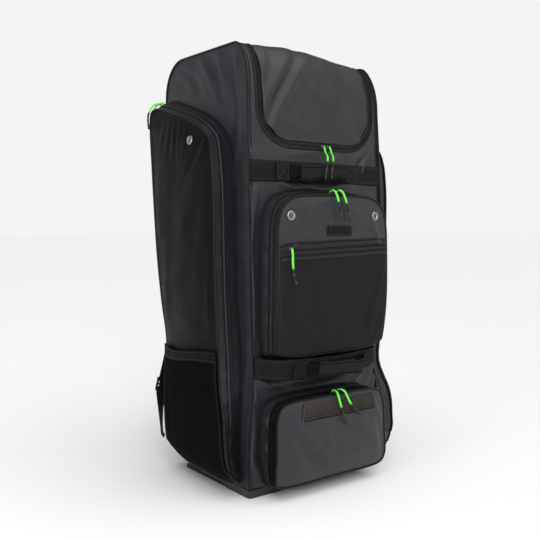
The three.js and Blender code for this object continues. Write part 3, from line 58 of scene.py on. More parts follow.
SIDE_POCKET_DEPTH, SIDE_CROWN, MESH_BULGE, HEM_HEIGHT = 56.0, 9.0, 11.0, 24.0
FRONT_POCKET_SIZE = {"across": -9.0, "width": 312.0, "bottom": 284.0, "height": 362.0, "depth": 58.0, "crown": 8.0}
BOTTOM_POCKET_SIZE = {"across": -10.0, "width": 312.0, "bottom": 22.0, "height": 190.0, "depth": 58.0, "crown": 8.0}
BAND_HEIGHT, UPPER_BAND_LEVEL, LOWER_BAND_LEVEL = 44.0, 684.0, 273.0
GRIP_LENGTH, GRIP_HEIGHT, GRIP_THICKNESS = 124.0, 33.0, 9.0
UPPER_HANDLE_ACROSS, LOWER_HANDLE_ACROSS = -8.0, 6.0
SLEEVE_END = 0.53  # half the grip's sleeve as a share of GRIP_LENGTH
WEBBING_WIDTH, WEBBING_THICKNESS = 25.0, 1.6
STRAP_WIDTH, STRAP_THICKNESS = 62.0, 12.0
LOCK_ACROSS, LOCK_LEVEL, LOCK_OFF, LOCK_TURN = 213.0, 190.0, 16.0, 14.0
LOCK_LENGTH, LOCK_THICKNESS, TAIL_LENGTH = 32.0, 4.0, 112.0
TAB_ACROSS, TAB_LEVEL, TAB_ROOT_WIDTH = 168.0, 140.0, 52.0
CORD_RADIUS, CORD_SIDES = 2.0, 16
SLIDER_SIZE = (11.0, 8.0, 2.4)  # along its zip, across and out
SLIDER_STAND = 2.4  # a slider's seat above its gusset
NET_SIZE = (262.0, 246.0)  # the side net when flat, across and up
LOOSE_FOOT = (330.0, 270.0)  # the side gussets grow looser from the first level down to the second
SEAM_INSET = 2.0  # how far the front and back panels end inside the sides
CREASE = 0.6  # how steep the sharp flank of a fold is
MIDDLE = (0.0, 20.0, 475.0)
SIDES = ((-1, "left"), (1, "right"))
STUDIO_GREY = "#f4f4f4"
FORWARD, BACKWARD = (0.0, -1.0, 0.0), (0.0, 1.0, 0.0)


def columns(names, *rows):
    """A table's columns by name."""
    return dict(zip(names.split(), np.array(rows, float).T))


# Body sections: level is a share of HEIGHT, front and back of DEPTH, left and right of half of WIDTH
BODY = columns(
    "level front back left right",
    (0, -0.448, 0.455, 1.005, 1), (0.105, -0.448, 0.467, 1.015, 1.005), (0.21, -0.439, 0.482, 0.96, 0.945),
    (0.29, -0.433, 0.494, 0.94, 0.905), (0.44, -0.448, 0.515, 0.985, 0.98), (0.63, -0.445, 0.539, 0.995, 0.985),
    (0.77, -0.43, 0.56, 0.99, 0.975), (0.88, -0.415, 0.576, 0.985, 0.96), (1, -0.415, 0.576, 0.955, 0.93),
)

# Soft folds in millimetres: place across and up, length, width and height out of the cloth; turn in
# degrees from upright, and bend is how far the fold's ends swing to one side
FOLD = "across up length width height turn bend"
FRONT_DENTS = columns(
    FOLD,
    (156, 698, 28, 9.6, -3, 12, 0), (118, 705, 24, 9.6, -2.4, -14, 0), (-114, 223, 28, 14.4, -3, -35, 0),
    (-177, 522, 47, 9.6, -1.8, 25, 0), (57, 226, 47, 10.8, -3, 84, 0),
)
SIDE_DENTS = columns(
    FOLD,
    (-66, 883, 71, 19, -8, 12, 0), (-7, 893, 62, 20, -7.5, 28, 0), (56, 893, 47, 20, -6, 42, 0),
    (-86, 803, 47, 17, -5.5, -18, 0), (109, 888, 28, 20, -4, 58, 0),
)
FLAP_FOLDS = columns(
    FOLD,
    (-118, 866, 84, 19, 9.2, 33, 6), (-84, 850, 96, 19, 8.5, 35, 8), (-101, 858, 80, 10.1, -4.9, 34, 6),
    (-142, 900, 40, 15.2, 4.1, 20, 0), (-40, 800, 80, 30.4, 3.7, 60, 0), (70, 840, 90, 37.9, 4.1, -28, 10),
    (120, 800, 50, 17.7, -3.7, -38, 0), (10, 912, 120, 27.8, 3.2, 82, 0), (96, 764, 40, 10.1, 4.1, -66, 0),
    (-118, 776, 26, 10.1, 3.2, 48, 0), (20, 770, 60, 12.6, 2.3, 86, 0),
)
FRONT_FOLDS = columns(
    FOLD,
    (112, 722, 30, 7, 6.5, 52, 3), (140, 716, 30, 6, 5.7, 28, 3), (164, 720, 26, 6, 4.4, 8, 0),
    (126, 714, 26, 5, -4.2, 40, 3),
    (-60, 722, 40, 6, 3.4, 84, 2), (-140, 722, 26, 7, 3.9, -40, 0), (-166, 716, 24, 6, 3.1, -62, 0),
    (60, 655, 60, 7, 5.5, 82, 3), (-30, 652, 60, 6, 4.7, 93, 3), (-90, 654, 34, 6, 4.4, -72, 0),
    (120, 652, 30, 6, -3.9, 74, 0),
    (140, 240, 40, 9, 7.8, 52, 4), (166, 232, 34, 8, 6.5, 38, 3), (172, 200, 34, 8, 4.7, 20, 0),
    (-150, 238, 34, 9, 6.5, -46, -4), (-120, 232, 30, 8, 4.4, -66, -2), (-174, 222, 26, 7, 4.4, -24, 0),
    (0, 232, 110, 9, 4.4, 90, 0), (-176, 600, 60, 8, 2.9, 6, 0), (-172, 660, 24, 8, -2.9, 50, 0),
    (181, 470, 80, 7, 3.1, -4, 0), (176, 560, 60, 8, 3.1, 10, 0), (180, 140, 60, 7, 3.1, 8, 0),
    (-178, 420, 80, 7, 2.6, -3, 0), (-177, 120, 60, 7, 3.4, 4, 0), (-170, 60, 30, 7, 3.4, -30, 0),
)
SIDE_FOLDS = columns(
    FOLD,
    (-104, 868, 76, 12.6, 5.7, 6, 4), (-52, 880, 84, 13.8, 6.3, 22, 6), (4, 890, 76, 13.8, 5.7, 38, 6),
    (58, 902, 56, 11.5, 4.6, 52, 4), (-78, 870, 70, 10.3, -4.1, 14, 5), (-24, 884, 70, 10.3, -4.1, 30, 6),
    (-112, 770, 80, 11.5, 4.1, -10, 3), (-92, 800, 40, 9.2, -3.0, -24, 0), (-128, 640, 90, 8, 2.3, 4, 0),
    (-126, 300, 60, 8, 3.0, -6, 0), (-130, 460, 90, 6.9, 2.0, 3, 0), (-124, 110, 60, 9.2, 3.2, 5, 0),
    (-118, 200, 60, 9.2, 2.7, -4, 0), (116, 906, 34, 10.3, 3.4, 64, 0),
)
SIDE_POCKET_FOLDS = columns(
    FOLD,
    (-32, 700, 88, 13.3, -2.3, -36, 6), (-52, 712, 80, 12.1, 2.0, -38, 6), (0, 752, 40, 8.5, 1.9, -14, 0),
    (22, 756, 40, 7.3, 2.0, -4, 0), (46, 762, 42, 7.3, 2.0, -4, 0), (72, 768, 40, 7.3, 1.9, -12, 0),
    (98, 774, 34, 8.5, 1.7, -20, 0),
    (36, 750, 36, 6.1, -1.2, 0, 0), (60, 756, 36, 6.1, -1.2, -8, 0), (-84, 430, 80, 15.7, 2.0, -4, 0),
    (-60, 540, 130, 26.6, 1.4, -10, 0), (60, 560, 170, 33.9, -1.9, -6, 0), (10, 372, 80, 26.6, 1.9, -82, 0),
    (-70, 330, 44, 10.9, -1.4, -60, 0), (104, 430, 100, 21.8, 1.7, -14, 0), (-20, 620, 90, 21.8, 1.1, -30, 0),
    (40, 470, 80, 24.2, 1.2, -62, 0), (120, 640, 90, 19.4, 1.4, -4, 0),
)
FRONT_POCKET_FOLDS = columns(
    FOLD,
    (-112, 560, 60, 16, 2.6, 24, 4), (50, 596, 70, 18, 2.4, -58, 0), (112, 545, 40, 10, 3.0, -28, 3),
    (-30, 522, 70, 14, 1.8, 78, 0), (84, 612, 40, 10, -2.0, 60, 0), (-60, 616, 50, 12, 1.8, 70, 0),
)
SLIP_FOLDS = columns(
    FOLD,
    (104, 402, 86, 7, 5.0, 14, 8), (118, 330, 50, 8, 4.2, 32, 4), (88, 380, 70, 12, -2.6, 16, 6),
    (-140, 462, 10, 3, 2.6, 80, 0), (-141, 444, 10, 3, 2.6, 84, 0), (-141, 426, 10, 3, 2.6, 90, 0),
    (-141, 408, 10, 3, 2.6, 88, 0),
    (-141, 388, 10, 3, 2.4, 94, 0), (-141, 366, 10, 3, 2.4, 92, 0), (-141, 344, 10, 3, 2.4, 98, 0),
    (0, 430, 110, 40, 2.8, 70, 0), (-60, 340, 70, 20, 2.6, 40, 0), (50, 318, 60, 11, 2.8, 76, 0),
    (-20, 480, 90, 10, -1.6, 88, 0),
)
BOTTOM_POCKET_FOLDS = columns(
    FOLD,
    (-84, 124, 70, 11, 5.0, -42, 6), (-104, 112, 50, 10.5, -4.5, -44, 4), (-122, 84, 40, 13.5, 3.6, -50, 0),
    (-34, 128, 40, 12, 2.4, -20, 0), (84, 118, 56, 13.5, 2.4, -40, 4), (114, 90, 44, 13.5, 2.6, -14, 0),
    (10, 66, 100, 27, 2.0, 82, 0), (44, 126, 46, 13.5, 1.8, -58, 0), (122, 150, 30, 12, 2.8, -30, 0),
    (-132, 150, 26, 10.5, 3.1, -40, 0), (-60, 60, 60, 15, -2.2, -60, 0),
)
BACK_FOLDS = columns(
    FOLD,
    (0, 700, 160, 50, 2.6, 4, 0), (90, 420, 90, 18, 2.0, -24, 6), (-90, 420, 90, 18, 2.0, 24, -6),
    (0, 240, 110, 14, 2.2, 86, 0), (60, 130, 60, 14, 1.8, 60, 0), (-60, 130, 60, 14, 1.8, -60, 0),
)

# Stations round a side pocket from its low front corner up, back and down. Seam and face places
# along are shares of DEPTH, their levels of HEIGHT, and lift of SIDE_POCKET_DEPTH.
SIDE_POCKET = columns(
    "seam seam_level face face_level lift",
    (-0.34, 0.029, -0.388, 0.036, 0.38), (-0.321, 0.078, -0.43, 0.076, 0.82), (-0.312, 0.12, -0.421, 0.12, 0.93),
    (-0.324, 0.179, -0.397, 0.175, 1), (-0.318, 0.247, -0.315, 0.247, 0.93), (-0.312, 0.313, -0.318, 0.313, 1),
    (-0.31, 0.4, -0.327, 0.4, 1), (-0.306, 0.526, -0.326, 0.526, 1), (-0.294, 0.653, -0.327, 0.65, 1.02),
    (-0.28, 0.71, -0.318, 0.705, 1.04), (-0.255, 0.765, -0.3, 0.752, 1.04), (-0.203, 0.805, -0.262, 0.787, 1),
    (-0.085, 0.838, -0.15, 0.818, 1), (0.1, 0.866, 0.045, 0.845, 1), (0.315, 0.89, 0.227, 0.862, 1),
    (0.48, 0.904, 0.4, 0.875, 1), (0.545, 0.88, 0.49, 0.855, 0.98), (0.53, 0.737, 0.475, 0.737, 0.95),
    (0.51, 0.547, 0.445, 0.547, 0.86), (0.496, 0.421, 0.432, 0.421, 0.74), (0.48, 0.316, 0.426, 0.316, 0.66),
    (0.466, 0.189, 0.43, 0.189, 0.66), (0.435, 0.084, 0.42, 0.084, 0.48), (0.42, 0.032, 0.41, 0.037, 0.32),
    (0.05, 0.026, 0.02, 0.036, 0.36),
)
SIDE_CORNERS = (0, 11, 16, 23)
SIDE_ZIP_ENDS, SIDE_ZIP_SPAN = (0.8, 16.0), (0.36, 0.62)
SIDE_SLIDERS = {"inner": 15.0, "outer": 15.35}
HEM = columns("along level", (-0.34, 0.328), (-0.08, 0.319), (0.1, 0.311), (0.26, 0.307), (0.45, 0.312))

# The left half of each front pocket, from the middle of its bottom to the middle of its top, in
# shares of half its width, of its height and of its depth
POCKET_ROW = "seam seam_level face face_level lift"
FRONT_POCKET = columns(
    POCKET_ROW,
    (0, -0.03, 0, 0.045, 0.9), (0.55, -0.03, 0.55, 0.045, 0.9), (0.91, 0.03, 0.91, 0.07, 0.88),
    (0.97, 0.1, 0.975, 0.12, 0.93), (1, 0.35, 0.99, 0.35, 1), (0.995, 0.66, 0.985, 0.65, 1),
    (0.965, 0.83, 0.96, 0.815, 1), (0.87, 0.925, 0.87, 0.9, 1), (0.67, 0.98, 0.67, 0.95, 1),
    (0.3, 1, 0.3, 0.962, 1), (0, 1, 0, 0.965, 1),
)
BOTTOM_POCKET = columns(
    POCKET_ROW,
    (0, 0, 0, 0.05, 0.95), (0.6, 0, 0.6, 0.045, 0.97), (0.9, 0.02, 0.93, 0.06, 0.93),
    (0.975, 0.18, 1, 0.18, 1), (1, 0.43, 0.985, 0.4, 1), (0.98, 0.7, 0.975, 0.72, 1),
    (0.94, 0.85, 0.94, 0.85, 1), (0.87, 0.93, 0.88, 0.92, 1), (0.72, 0.975, 0.72, 0.96, 1),
    (0.4, 1, 0.4, 0.97, 1), (0, 1, 0, 0.97, 1),
)
POCKET_CORNERS = (2.5, 7.0, 13.0, 17.5)
POCKET_ZIP_SHARE, SLIP_TOP, SLIP_ZIP_SHARE, SLIP_TILT = 0.5, 0.515, 0.06, 0.024
VENT = {"left": -103.0, "right": 100.0, "bottom": 160.0, "top": 200.0}
EYELETS = {"front_eyelet_left": (-132.0, 591.0), "front_eyelet_right": (104.0, 591.0)}
SIDE_EYELET = (-25.0, 750.0)
LABEL = {"left": -39.0, "right": 27.0, "bottom": 549.5, "top": 570.5}
SLIDERS = {"lid": (9.0, 25.0), "front": (-14.0, 3.0), "bottom": (-3.0, 13.0), "slip": (-136.0, 524.0)}

# The lower band: across is a share of half of WIDTH, top and bottom of the pocket's depth that its
# edges stand off the front, sag of BAND_HEIGHT
LOWER_BAND = columns(
    "across top bottom sag",
    (-1, 0, 0, 0), (-0.95, 0.2, 0.15, 0), (-0.88, 0.68, 0.5, 0), (-0.6, 0.84, 0.62, 0.1), (-0.2, 0.87, 0.66, 0.22),
    (0.2, 0.87, 0.66, 0.22), (0.52, 0.84, 0.62, 0.1), (0.76, 0.7, 0.52, 0), (0.87, 0.2, 0.15, 0), (1, 0, 0, 0),
)
# A grab handle: across is a share of GRIP_LENGTH, off of GRIP_THICKNESS
HANDLE = columns(
    "across off",
    (-0.93, 0.04), (-0.66, 0.04), (-0.56, 1.5), (-0.48, 2), (0, 2.2),
    (0.48, 2), (0.56, 1.5), (0.66, 0.04), (0.93, 0.04),
)
# A shoulder strap up the back: across is a share of half of WIDTH, level of HEIGHT, off of
# STRAP_THICKNESS and width of STRAP_WIDTH
SHOULDER_STRAP = columns(
    "level across off width",
    (0.48, 0.73, 0.3, 0.6), (0.53, 0.67, 0.5, 0.8), (0.62, 0.56, 0.7, 0.95), (0.74, 0.45, 0.7, 1),
    (0.86, 0.38, 0.45, 1), (0.905, 0.36, -0.04, 0.9),
)
# The webbing's way through a lock: down it as shares of its length, out of it of the webbing's stand
THREADING = ((-0.62, 1.1), (-0.35, 1.1), (-0.21, 0), (-0.09, -1.1), (0.09, -1.1), (0.21, 0), (0.35, 1.1), (0.62, 1.1))

# Where the pull cords hang, each from its slider down
PULLS = {
    "lid_pull_left": (
        (9, -152.5, 742), (5, -161, 729), (-3, -177, 717),
        (-12, -186, 699), (-17, -188, 683), (-19, -189, 667),
    ),
    "lid_pull_right": (
        (25, -152.5, 742), (22, -161, 729), (13, -177, 717),
        (4, -186, 699), (-1, -188, 684), (-2, -189, 668),
    ),
    "front_pull_left": (
        (-14, -197.1, 641.5), (-16, -208, 645), (-17, -218, 641),
        (-15, -224, 626), (-11, -226, 602), (-8, -226, 582),
    ),
    "front_pull_right": (
        (3, -197.1, 641.5), (1, -208, 645), (3, -218, 641),
        (8, -224, 622), (14, -226, 598), (19, -226, 578),
    ),
    "slip_pull": ((-136, -220.3, 524), (-138, -225, 512), (-140, -228, 494), (-137, -228, 474), (-130, -227, 451)),
    "bottom_pull_left": (
        (-3, -195.1, 212.8), (-5, -206, 215), (-7, -217, 211),
        (-5, -224, 190), (5, -226, 160), (17, -226, 140),
    ),
    "bottom_pull_right": (
        (13, -195.1, 212.8), (13, -206, 215), (15, -217, 211),
        (23, -224, 189), (40, -225, 170), (60, -225, 155),
    ),
}
SIDE_PULLS = {
    "outer": ((217.7, 159, 850.6), (227, 166, 849), (231, 173, 836), (230, 175, 820), (233, 175, 803), (237, 175, 786)),
    "inner": ((218.2, 146, 851.5), (228, 149, 850), (243, 153, 845), (253, 156, 829), (255, 158, 812), (253, 158, 790)),
}


def linear(code):
    """An sRGB hex colour as the linear colour that the shaders use."""
    parts = [int(code[i:i + 2], 16) / 255 for i in (1, 3, 5)]
    return tuple(c / 12.92 if c <= 0.04045 else ((c + 0.055) / 1.055) ** 2.4 for c in parts) + (1.0,)


# The bag's surfaces, in millimetres
def read(rows, key, name, at):
    """A column of a table between its rows, on a smooth curve through them."""
    keys, values = rows[key], rows[name]
    at = np.asarray(at, float)
    i = np.searchsorted(keys[1:-1], at)
    before, after = np.maximum(i - 1, 0), np.minimum(i + 2, len(keys) - 1)
    span = keys[i + 1] - keys[i]
    t = np.clip((at - keys[i]) / span, 0, 1)
    slope_in = (values[i + 1] - values[before]) / (keys[i + 1] - keys[before])
    slope_out = (values[after] - values[i]) / (keys[after] - keys[i])
    rise = t * t * (3 - 2 * t) * (values[i + 1] - values[i])
    return values[i] + rise + span * t * (1 - t) * (slope_in * (1 - t) - slope_out * t)


def folded(rows, across, up, crease=1.0):
    """How far soft folds stand out of the cloth. A crease below 1 makes one flank of each steeper."""
    lift = np.zeros(np.broadcast(across, up).shape)
    for x, z, length, width, height, turn, bend in zip(*(rows[name] for name in FOLD.split())):
        lean = math.radians(turn)
        beside = (across - x) * math.cos(lean) - (up - z) * math.sin(lean)
        along = (across - x) * math.sin(lean) + (up - z) * math.cos(lean)
        beside = beside - bend * (along / length) ** 2
        flank = np.where(beside > 0, width * crease, width)
        lift += height * np.exp(-((beside / flank) ** 2) - (along / length) ** 2)
    return lift


def rumple(across, up, height=0.5):
    """The slight unevenness that all sewn cloth has."""
    waves = np.sin(across / 23 + up / 41) + np.sin(across / 17 - up / 29 + 1.3) + np.sin(across / 53 + up / 19 + 0.4)
    return height * waves / 3


def ramp(value, start, end):
    """0 up to a start and 1 from an end on, whichever way they lie."""
    return np.clip((value - start) / (end - start), 0, 1)


def curve_in(z, start, drop):
    """0 up to a level and then up to 1 along a quarter of a circle."""
    rise = np.clip((z - start) / drop, 0, 1)
    return 1 - np.sqrt(np.maximum(1 - rise * rise, 0))


SHOULDER = HEIGHT - TOP_FRONT_DROP
BACK_SHOULDER = HEIGHT - TOP_BACK_DROP
PANEL_BOTTOM = BASE_HEIGHT - 1


def front_line(z):
    """The front of the bag in section, at its corners."""
    base = DEPTH * read(BODY, "level", "front", np.minimum(z, SHOULDER) / HEIGHT)
    return base + TOP_FRONT_REACH * curve_in(z, SHOULDER, TOP_FRONT_DROP)


def back_line(z):
    base = DEPTH * read(BODY, "level", "back", np.minimum(z, BACK_SHOULDER) / HEIGHT)
    return base - TOP_BACK_REACH * curve_in(z, BACK_SHOULDER, TOP_BACK_DROP)


def half_width(z, side):
    """From the bag's middle to a side, at its corners. Only the sign of side counts."""
    left, right = (read(BODY, "level", name, np.asarray(z) / HEIGHT) for name in ("left", "right"))
    return WIDTH / 2 * np.where(np.asarray(side) < 0, left, right)


def slump(x, z):
    """How far the top's front edge has sunk, on the right of its middle."""
    return 8 * np.exp(-(((x - 75) / 75) ** 2)) * ramp(z, 850, 930)


def crown_share(x, z):
    """0 at the bag's sides and 1 in its middle."""
    left = half_width(z, -1)
    across = np.clip((x + left) / (left + half_width(z, 1)), 0, 1)
    return 4 * across * (1 - across)


def front_surface(x, z):
    return front_line(z) - crown_share(x, z) * (folded(FRONT_DENTS, x, z) + FRONT_CROWN)


def side_surface(side, y, z):
    front = front_line(z)
    across = np.clip((y - front) / (back_line(z) - front), 0, 1)
    edge = 4 * across * (1 - across) * np.minimum(1, (HEIGHT - z) / TOP_BACK_DROP)
    return half_width(z, side) + SIDE_BELLY * edge + folded(SIDE_DENTS, y, z) * np.minimum(1, 2 * edge)


def side_levels(step):
    """Levels up the side, closer together where the top curves in."""
    low = np.arange(PANEL_BOTTOM, SHOULDER, step)
    return np.concatenate([low, SHOULDER + TOP_FRONT_DROP * np.sin(np.linspace(0, math.pi / 2, 24))])


def band_profile():
    """The front band's line in section: run along the cloth, place, level and way out."""
    z = side_levels(4)
    y = front_line(z)
    top = np.linspace(y[-1], FLAP_HINGE + ZIP_WIDTH, 50)[1:]
    y, z = np.append(y, top), np.append(z, np.full(top.shape, HEIGHT))
    run = np.append(0, np.cumsum(np.hypot(np.diff(y), np.diff(z))))
    dy, dz = np.gradient(y, run), np.gradient(z, run)
    length = np.hypot(dy, dz)
    return {"run": run, "y": y, "z": z, "out_y": -dz / length, "out_z": dy / length}


PROFILE = band_profile()
BAND_END = PROFILE["run"][-1]


def run_at(z):
    """How far up the front band a level of the front lies."""
    return np.interp(z, PROFILE["z"], PROFILE["run"])


def run_on_top(y):
    return BAND_END - (FLAP_HINGE + ZIP_WIDTH - y)


def on_band(x, run, lift=0.0):
    """Points of the front band, which runs from the base up, over the shoulder and back along the top."""
    x, run, lift = np.broadcast_arrays(np.asarray(x, float), run, lift)
    y, z, out_y, out_z = (np.interp(run, PROFILE["run"], PROFILE[name]) for name in ("y", "z", "out_y", "out_z"))
    crown = np.where(y < 0, front_line(z) - front_surface(x, z), FRONT_CROWN * crown_share(x, z))
    rise = crown + lift - slump(x, z) * ramp(y, 90, 30)
    return np.stack([x, y + out_y * rise, z + out_z * rise], -1)


def level_of_run(run):
    return np.interp(run, PROFILE["run"], PROFILE["z"]) + np.maximum(run - run_at(HEIGHT - 0.01), 0)


def flap_half(z, margin):
    """Half the flap's width at a level, with its low corners rounded."""
    radius = FLAP_CORNER + margin
    up = np.clip(z - (FLAP_BOTTOM - margin), 0, radius)
    return FLAP_WIDTH / 2 - FLAP_CORNER + np.sqrt(np.maximum(radius**2 - (radius - up) ** 2, 0))


def on_ring(points, station):
    """Points of a smooth closed curve through a ring of points, at stations counted in points."""
    count = len(points)
    station = np.asarray(station, float) % count
    i = np.floor(station).astype(int)
    t = (station - i)[..., None]
    a, b, c, d = (points[(i + k) % count] for k in (-1, 0, 1, 2))
    return b + t * (c - a) / 2 + t**2 * (a - 2.5 * b + 2 * c - d / 2) + t**3 * (1.5 * (b - c) + (d - a) / 2)


def unit(vectors):
    return vectors / np.maximum(np.linalg.norm(vectors, axis=-1, keepdims=True), 1e-9)


def runs(points):
    """How far along a line each of its points lies."""
    return np.append(0, np.cumsum(np.linalg.norm(np.diff(points, axis=0), axis=1)))


def resample(points, step, ways=None):
    """A line again with its points evenly spaced, and the ways out at them."""
    run = runs(points)
    at = np.linspace(0, run[-1], max(2, int(round(run[-1] / step)) + 1))
    lines = [points] if ways is None else [points, ways]
    found = [np.stack([np.interp(at, run, line[:, k]) for k in range(3)], 1) for line in lines]
    return found[0] if ways is None else (found[0], unit(found[1]))


def smooth_line(points, step):
    """An even smooth curve through a few points."""
    points = np.array(points, float)
    ends = np.vstack([2 * points[0] - points[1], points, 2 * points[-1] - points[-2]])
    fine = [on_ring(ends, np.linspace(i, i + 1, 24, endpoint=False)) for i in range(1, len(points))]
    return resample(np.vstack([*fine, points[-1:]]), step)


class Pocket:
    """A pocket: its seam on the bag, the rim of its face, and the face between."""

    def __init__(self, seam, rim, corners, out, crown):
        self.seam, self.rim, self.corners, self.crown = seam, rim, corners, crown
        self.out = np.array(out, float)
        self.count = len(seam)
        self.middle = rim.mean(axis=0)

    def stations(self, start, end, step):
        fine = np.linspace(start, end, 900)
        run = runs(on_ring(self.rim, fine))
        return np.interp(np.linspace(0, run[-1], max(2, int(run[-1] / step))), run, fine)

    def all_round(self, step):
        return self.stations(self.corners[0], self.corners[0] + self.count, step)

    def face(self, u, v, lift=0.0):
        u, v, lift = np.broadcast_arrays(np.asarray(u, float), v, lift)
        low_front, top_front, top_back, low_back = self.corners
        across, up = u[..., None], v[..., None]
        start = low_front + self.count
        corner = [on_ring(self.rim, station) for station in (low_front, low_back, top_front, top_back)]
        point = (1 - up) * on_ring(self.rim, start + (low_back - start) * u)
        point = point + up * on_ring(self.rim, top_front + (top_back - top_front) * u)
        point += (1 - across) * on_ring(self.rim, low_front + (top_front - low_front) * v)
        point += across * on_ring(self.rim, low_back + (top_back - low_back) * v)
        point -= (1 - across) * ((1 - up) * corner[0] + up * corner[2])
        point -= across * ((1 - up) * corner[1] + up * corner[3])
        swell = self.crown * (np.clip(4 * u * (1 - u), 0, 1) * np.clip(4 * v * (1 - v), 0, 1)) ** 0.75
        return point + (swell + lift)[..., None] * self.out

    def locate(self, axis, across, level):
        """The place on the face with a given place across and level."""
        place = np.array([0.5, 0.5])
        for _ in range(12):
            here, beside, above = (self.face(*(place + step)) for step in ((0, 0), (0.01, 0), (0, 0.01)))
            slope = np.array([[(beside - here)[k], (above - here)[k]] for k in (axis, 2)]) / 0.01
            place = np.clip(place + np.linalg.solve(slope, [across - here[axis], level - here[2]]), 0.001, 0.999)
        return place

    def gusset(self, stations, shares, lift=0.0):
        """The strip between seam and rim, and the way out at its stations."""
        seam, rim = on_ring(self.seam, stations), on_ring(self.rim, stations)
        ahead = on_ring(self.seam, stations + 0.05) - on_ring(self.seam, stations - 0.05)
        way = unit(np.cross(rim - seam, ahead))
        way *= np.sign(np.sum(way * (seam - self.middle), axis=-1, keepdims=True))
        shares = np.asarray(shares, float)[:, None, None]
        lift = np.asarray(lift, float)
        lift = lift[..., None] if lift.ndim else lift
        return seam + (rim - seam) * shares + way * lift, way


def held_edges(u, v, across=12, up=12):
    """1 inside a face and 0 along its seams, which hold the cloth flat."""
    return np.clip(across * u * (1 - u), 0, 1) * np.clip(up * v * (1 - v), 0, 1)


def folded_face(pocket, u, v, folds, axis=0, height=0.5, **held):
    """Points of a pocket's face with its soft folds."""
    flat = pocket.face(u, v)
    across, up = flat[..., axis], flat[..., 2]
    soft = held_edges(u, v, **held)
    return pocket.face(u, v, soft * (folded(folds, across, up, CREASE) + rumple(across, up, height)))


def side_pocket(side):
    def ring(along, level, lift):
        y, z = SIDE_POCKET[along] * DEPTH, SIDE_POCKET[level] * HEIGHT
        x = side_surface(side, y, z) + 1 + lift * SIDE_POCKET_DEPTH
        return np.stack([side * x, y, z], -1)

    seam, rim = ring("seam", "seam_level", 0), ring("face", "face_level", SIDE_POCKET["lift"])
    return Pocket(seam, rim, SIDE_CORNERS, (side, 0, 0), SIDE_CROWN)


def front_pocket(rows, size):
    def ring(across, level, lift):
        half = rows[across] * size["width"] / 2
        x = size["across"] + np.concatenate([-half, half[-2:0:-1]])
        z = size["bottom"] + size["height"] * np.concatenate([rows[level], rows[level][-2:0:-1]])
        lift = np.concatenate([lift, lift[-2:0:-1]]) * size["depth"]
        return np.stack([x, front_surface(x, z) - 1 - lift, z], -1)

    flat = np.zeros(rows["lift"].shape)
    seam, rim = ring("seam", "seam_level", flat), ring("face", "face_level", rows["lift"])
    return Pocket(seam, rim, POCKET_CORNERS, (0, -1, 0), size["crown"])


def settled(points):
    """Points moved as the low back corners and the top right corner of the bag have given way."""
    x, y, z = points[:, 0], points[:, 1], points[:, 2]
    fall = ramp(x, 60, 180) * ramp(z, 850, 930) * ramp(y, 60, -80)
    give = ramp(z, 70, 0) * ramp(y, 30, 150) * ramp(np.abs(x), 90, 190)
    return points + np.stack([-np.sign(x) * 28 * give, -6 * give, 13 * give - 13 * fall], 1)


# Making pieces from points
def new_piece(name, points, faces, cut=None, wear=None):
    """A mesh object at the origin from points in millimetres. The cut is each point's place on the flat cloth."""
    mesh = bpy.data.meshes.new(name)
    faces = faces.tolist() if isinstance(faces, np.ndarray) else faces
    mesh.from_pydata((settled(np.asarray(points, float)) * MM).tolist(), [], faces)
    made = bpy.data.objects.new(name, mesh)
    bpy.context.scene.collection.objects.link(made)
    corner = np.empty(len(mesh.loops), int)
    mesh.loops.foreach_get("vertex_index", corner)
    layer = mesh.uv_layers.new(name="cut")
    if cut is None:
        cut = np.zeros((len(points), 2))
    layer.data.foreach_set("uv", (np.asarray(cut, float)[corner] * MM).ravel())
    if wear is not None:
        mesh.attributes.new("wear", "FLOAT", "POINT").data.foreach_set("value", np.asarray(wear, float).ravel())
    mesh.polygons.foreach_set("use_smooth", np.ones(len(mesh.polygons), bool))
    return made


def dress(made, finish, *nodes):
    """Gives a piece its material, and the nodes that it stands for."""
    made.data.materials.clear()
    made.data.materials.append(finish_named(finish))
    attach(made, "root")
    if nodes:
        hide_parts(*nodes)
    return made


def mould(node):
    """Gives a moulded part of the frame its material."""
    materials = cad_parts[node].data.materials
    materials.clear()
    materials.append(finish_named("plastic"))


def grid_out(grid, away=MIDDLE):
    """The way out at each point of a grid, pointing away from a place."""
    way = unit(np.cross(np.gradient(grid, axis=1), np.gradient(grid, axis=0)))
    return way * np.sign(np.sum(way * (grid - np.array(away))) or 1)


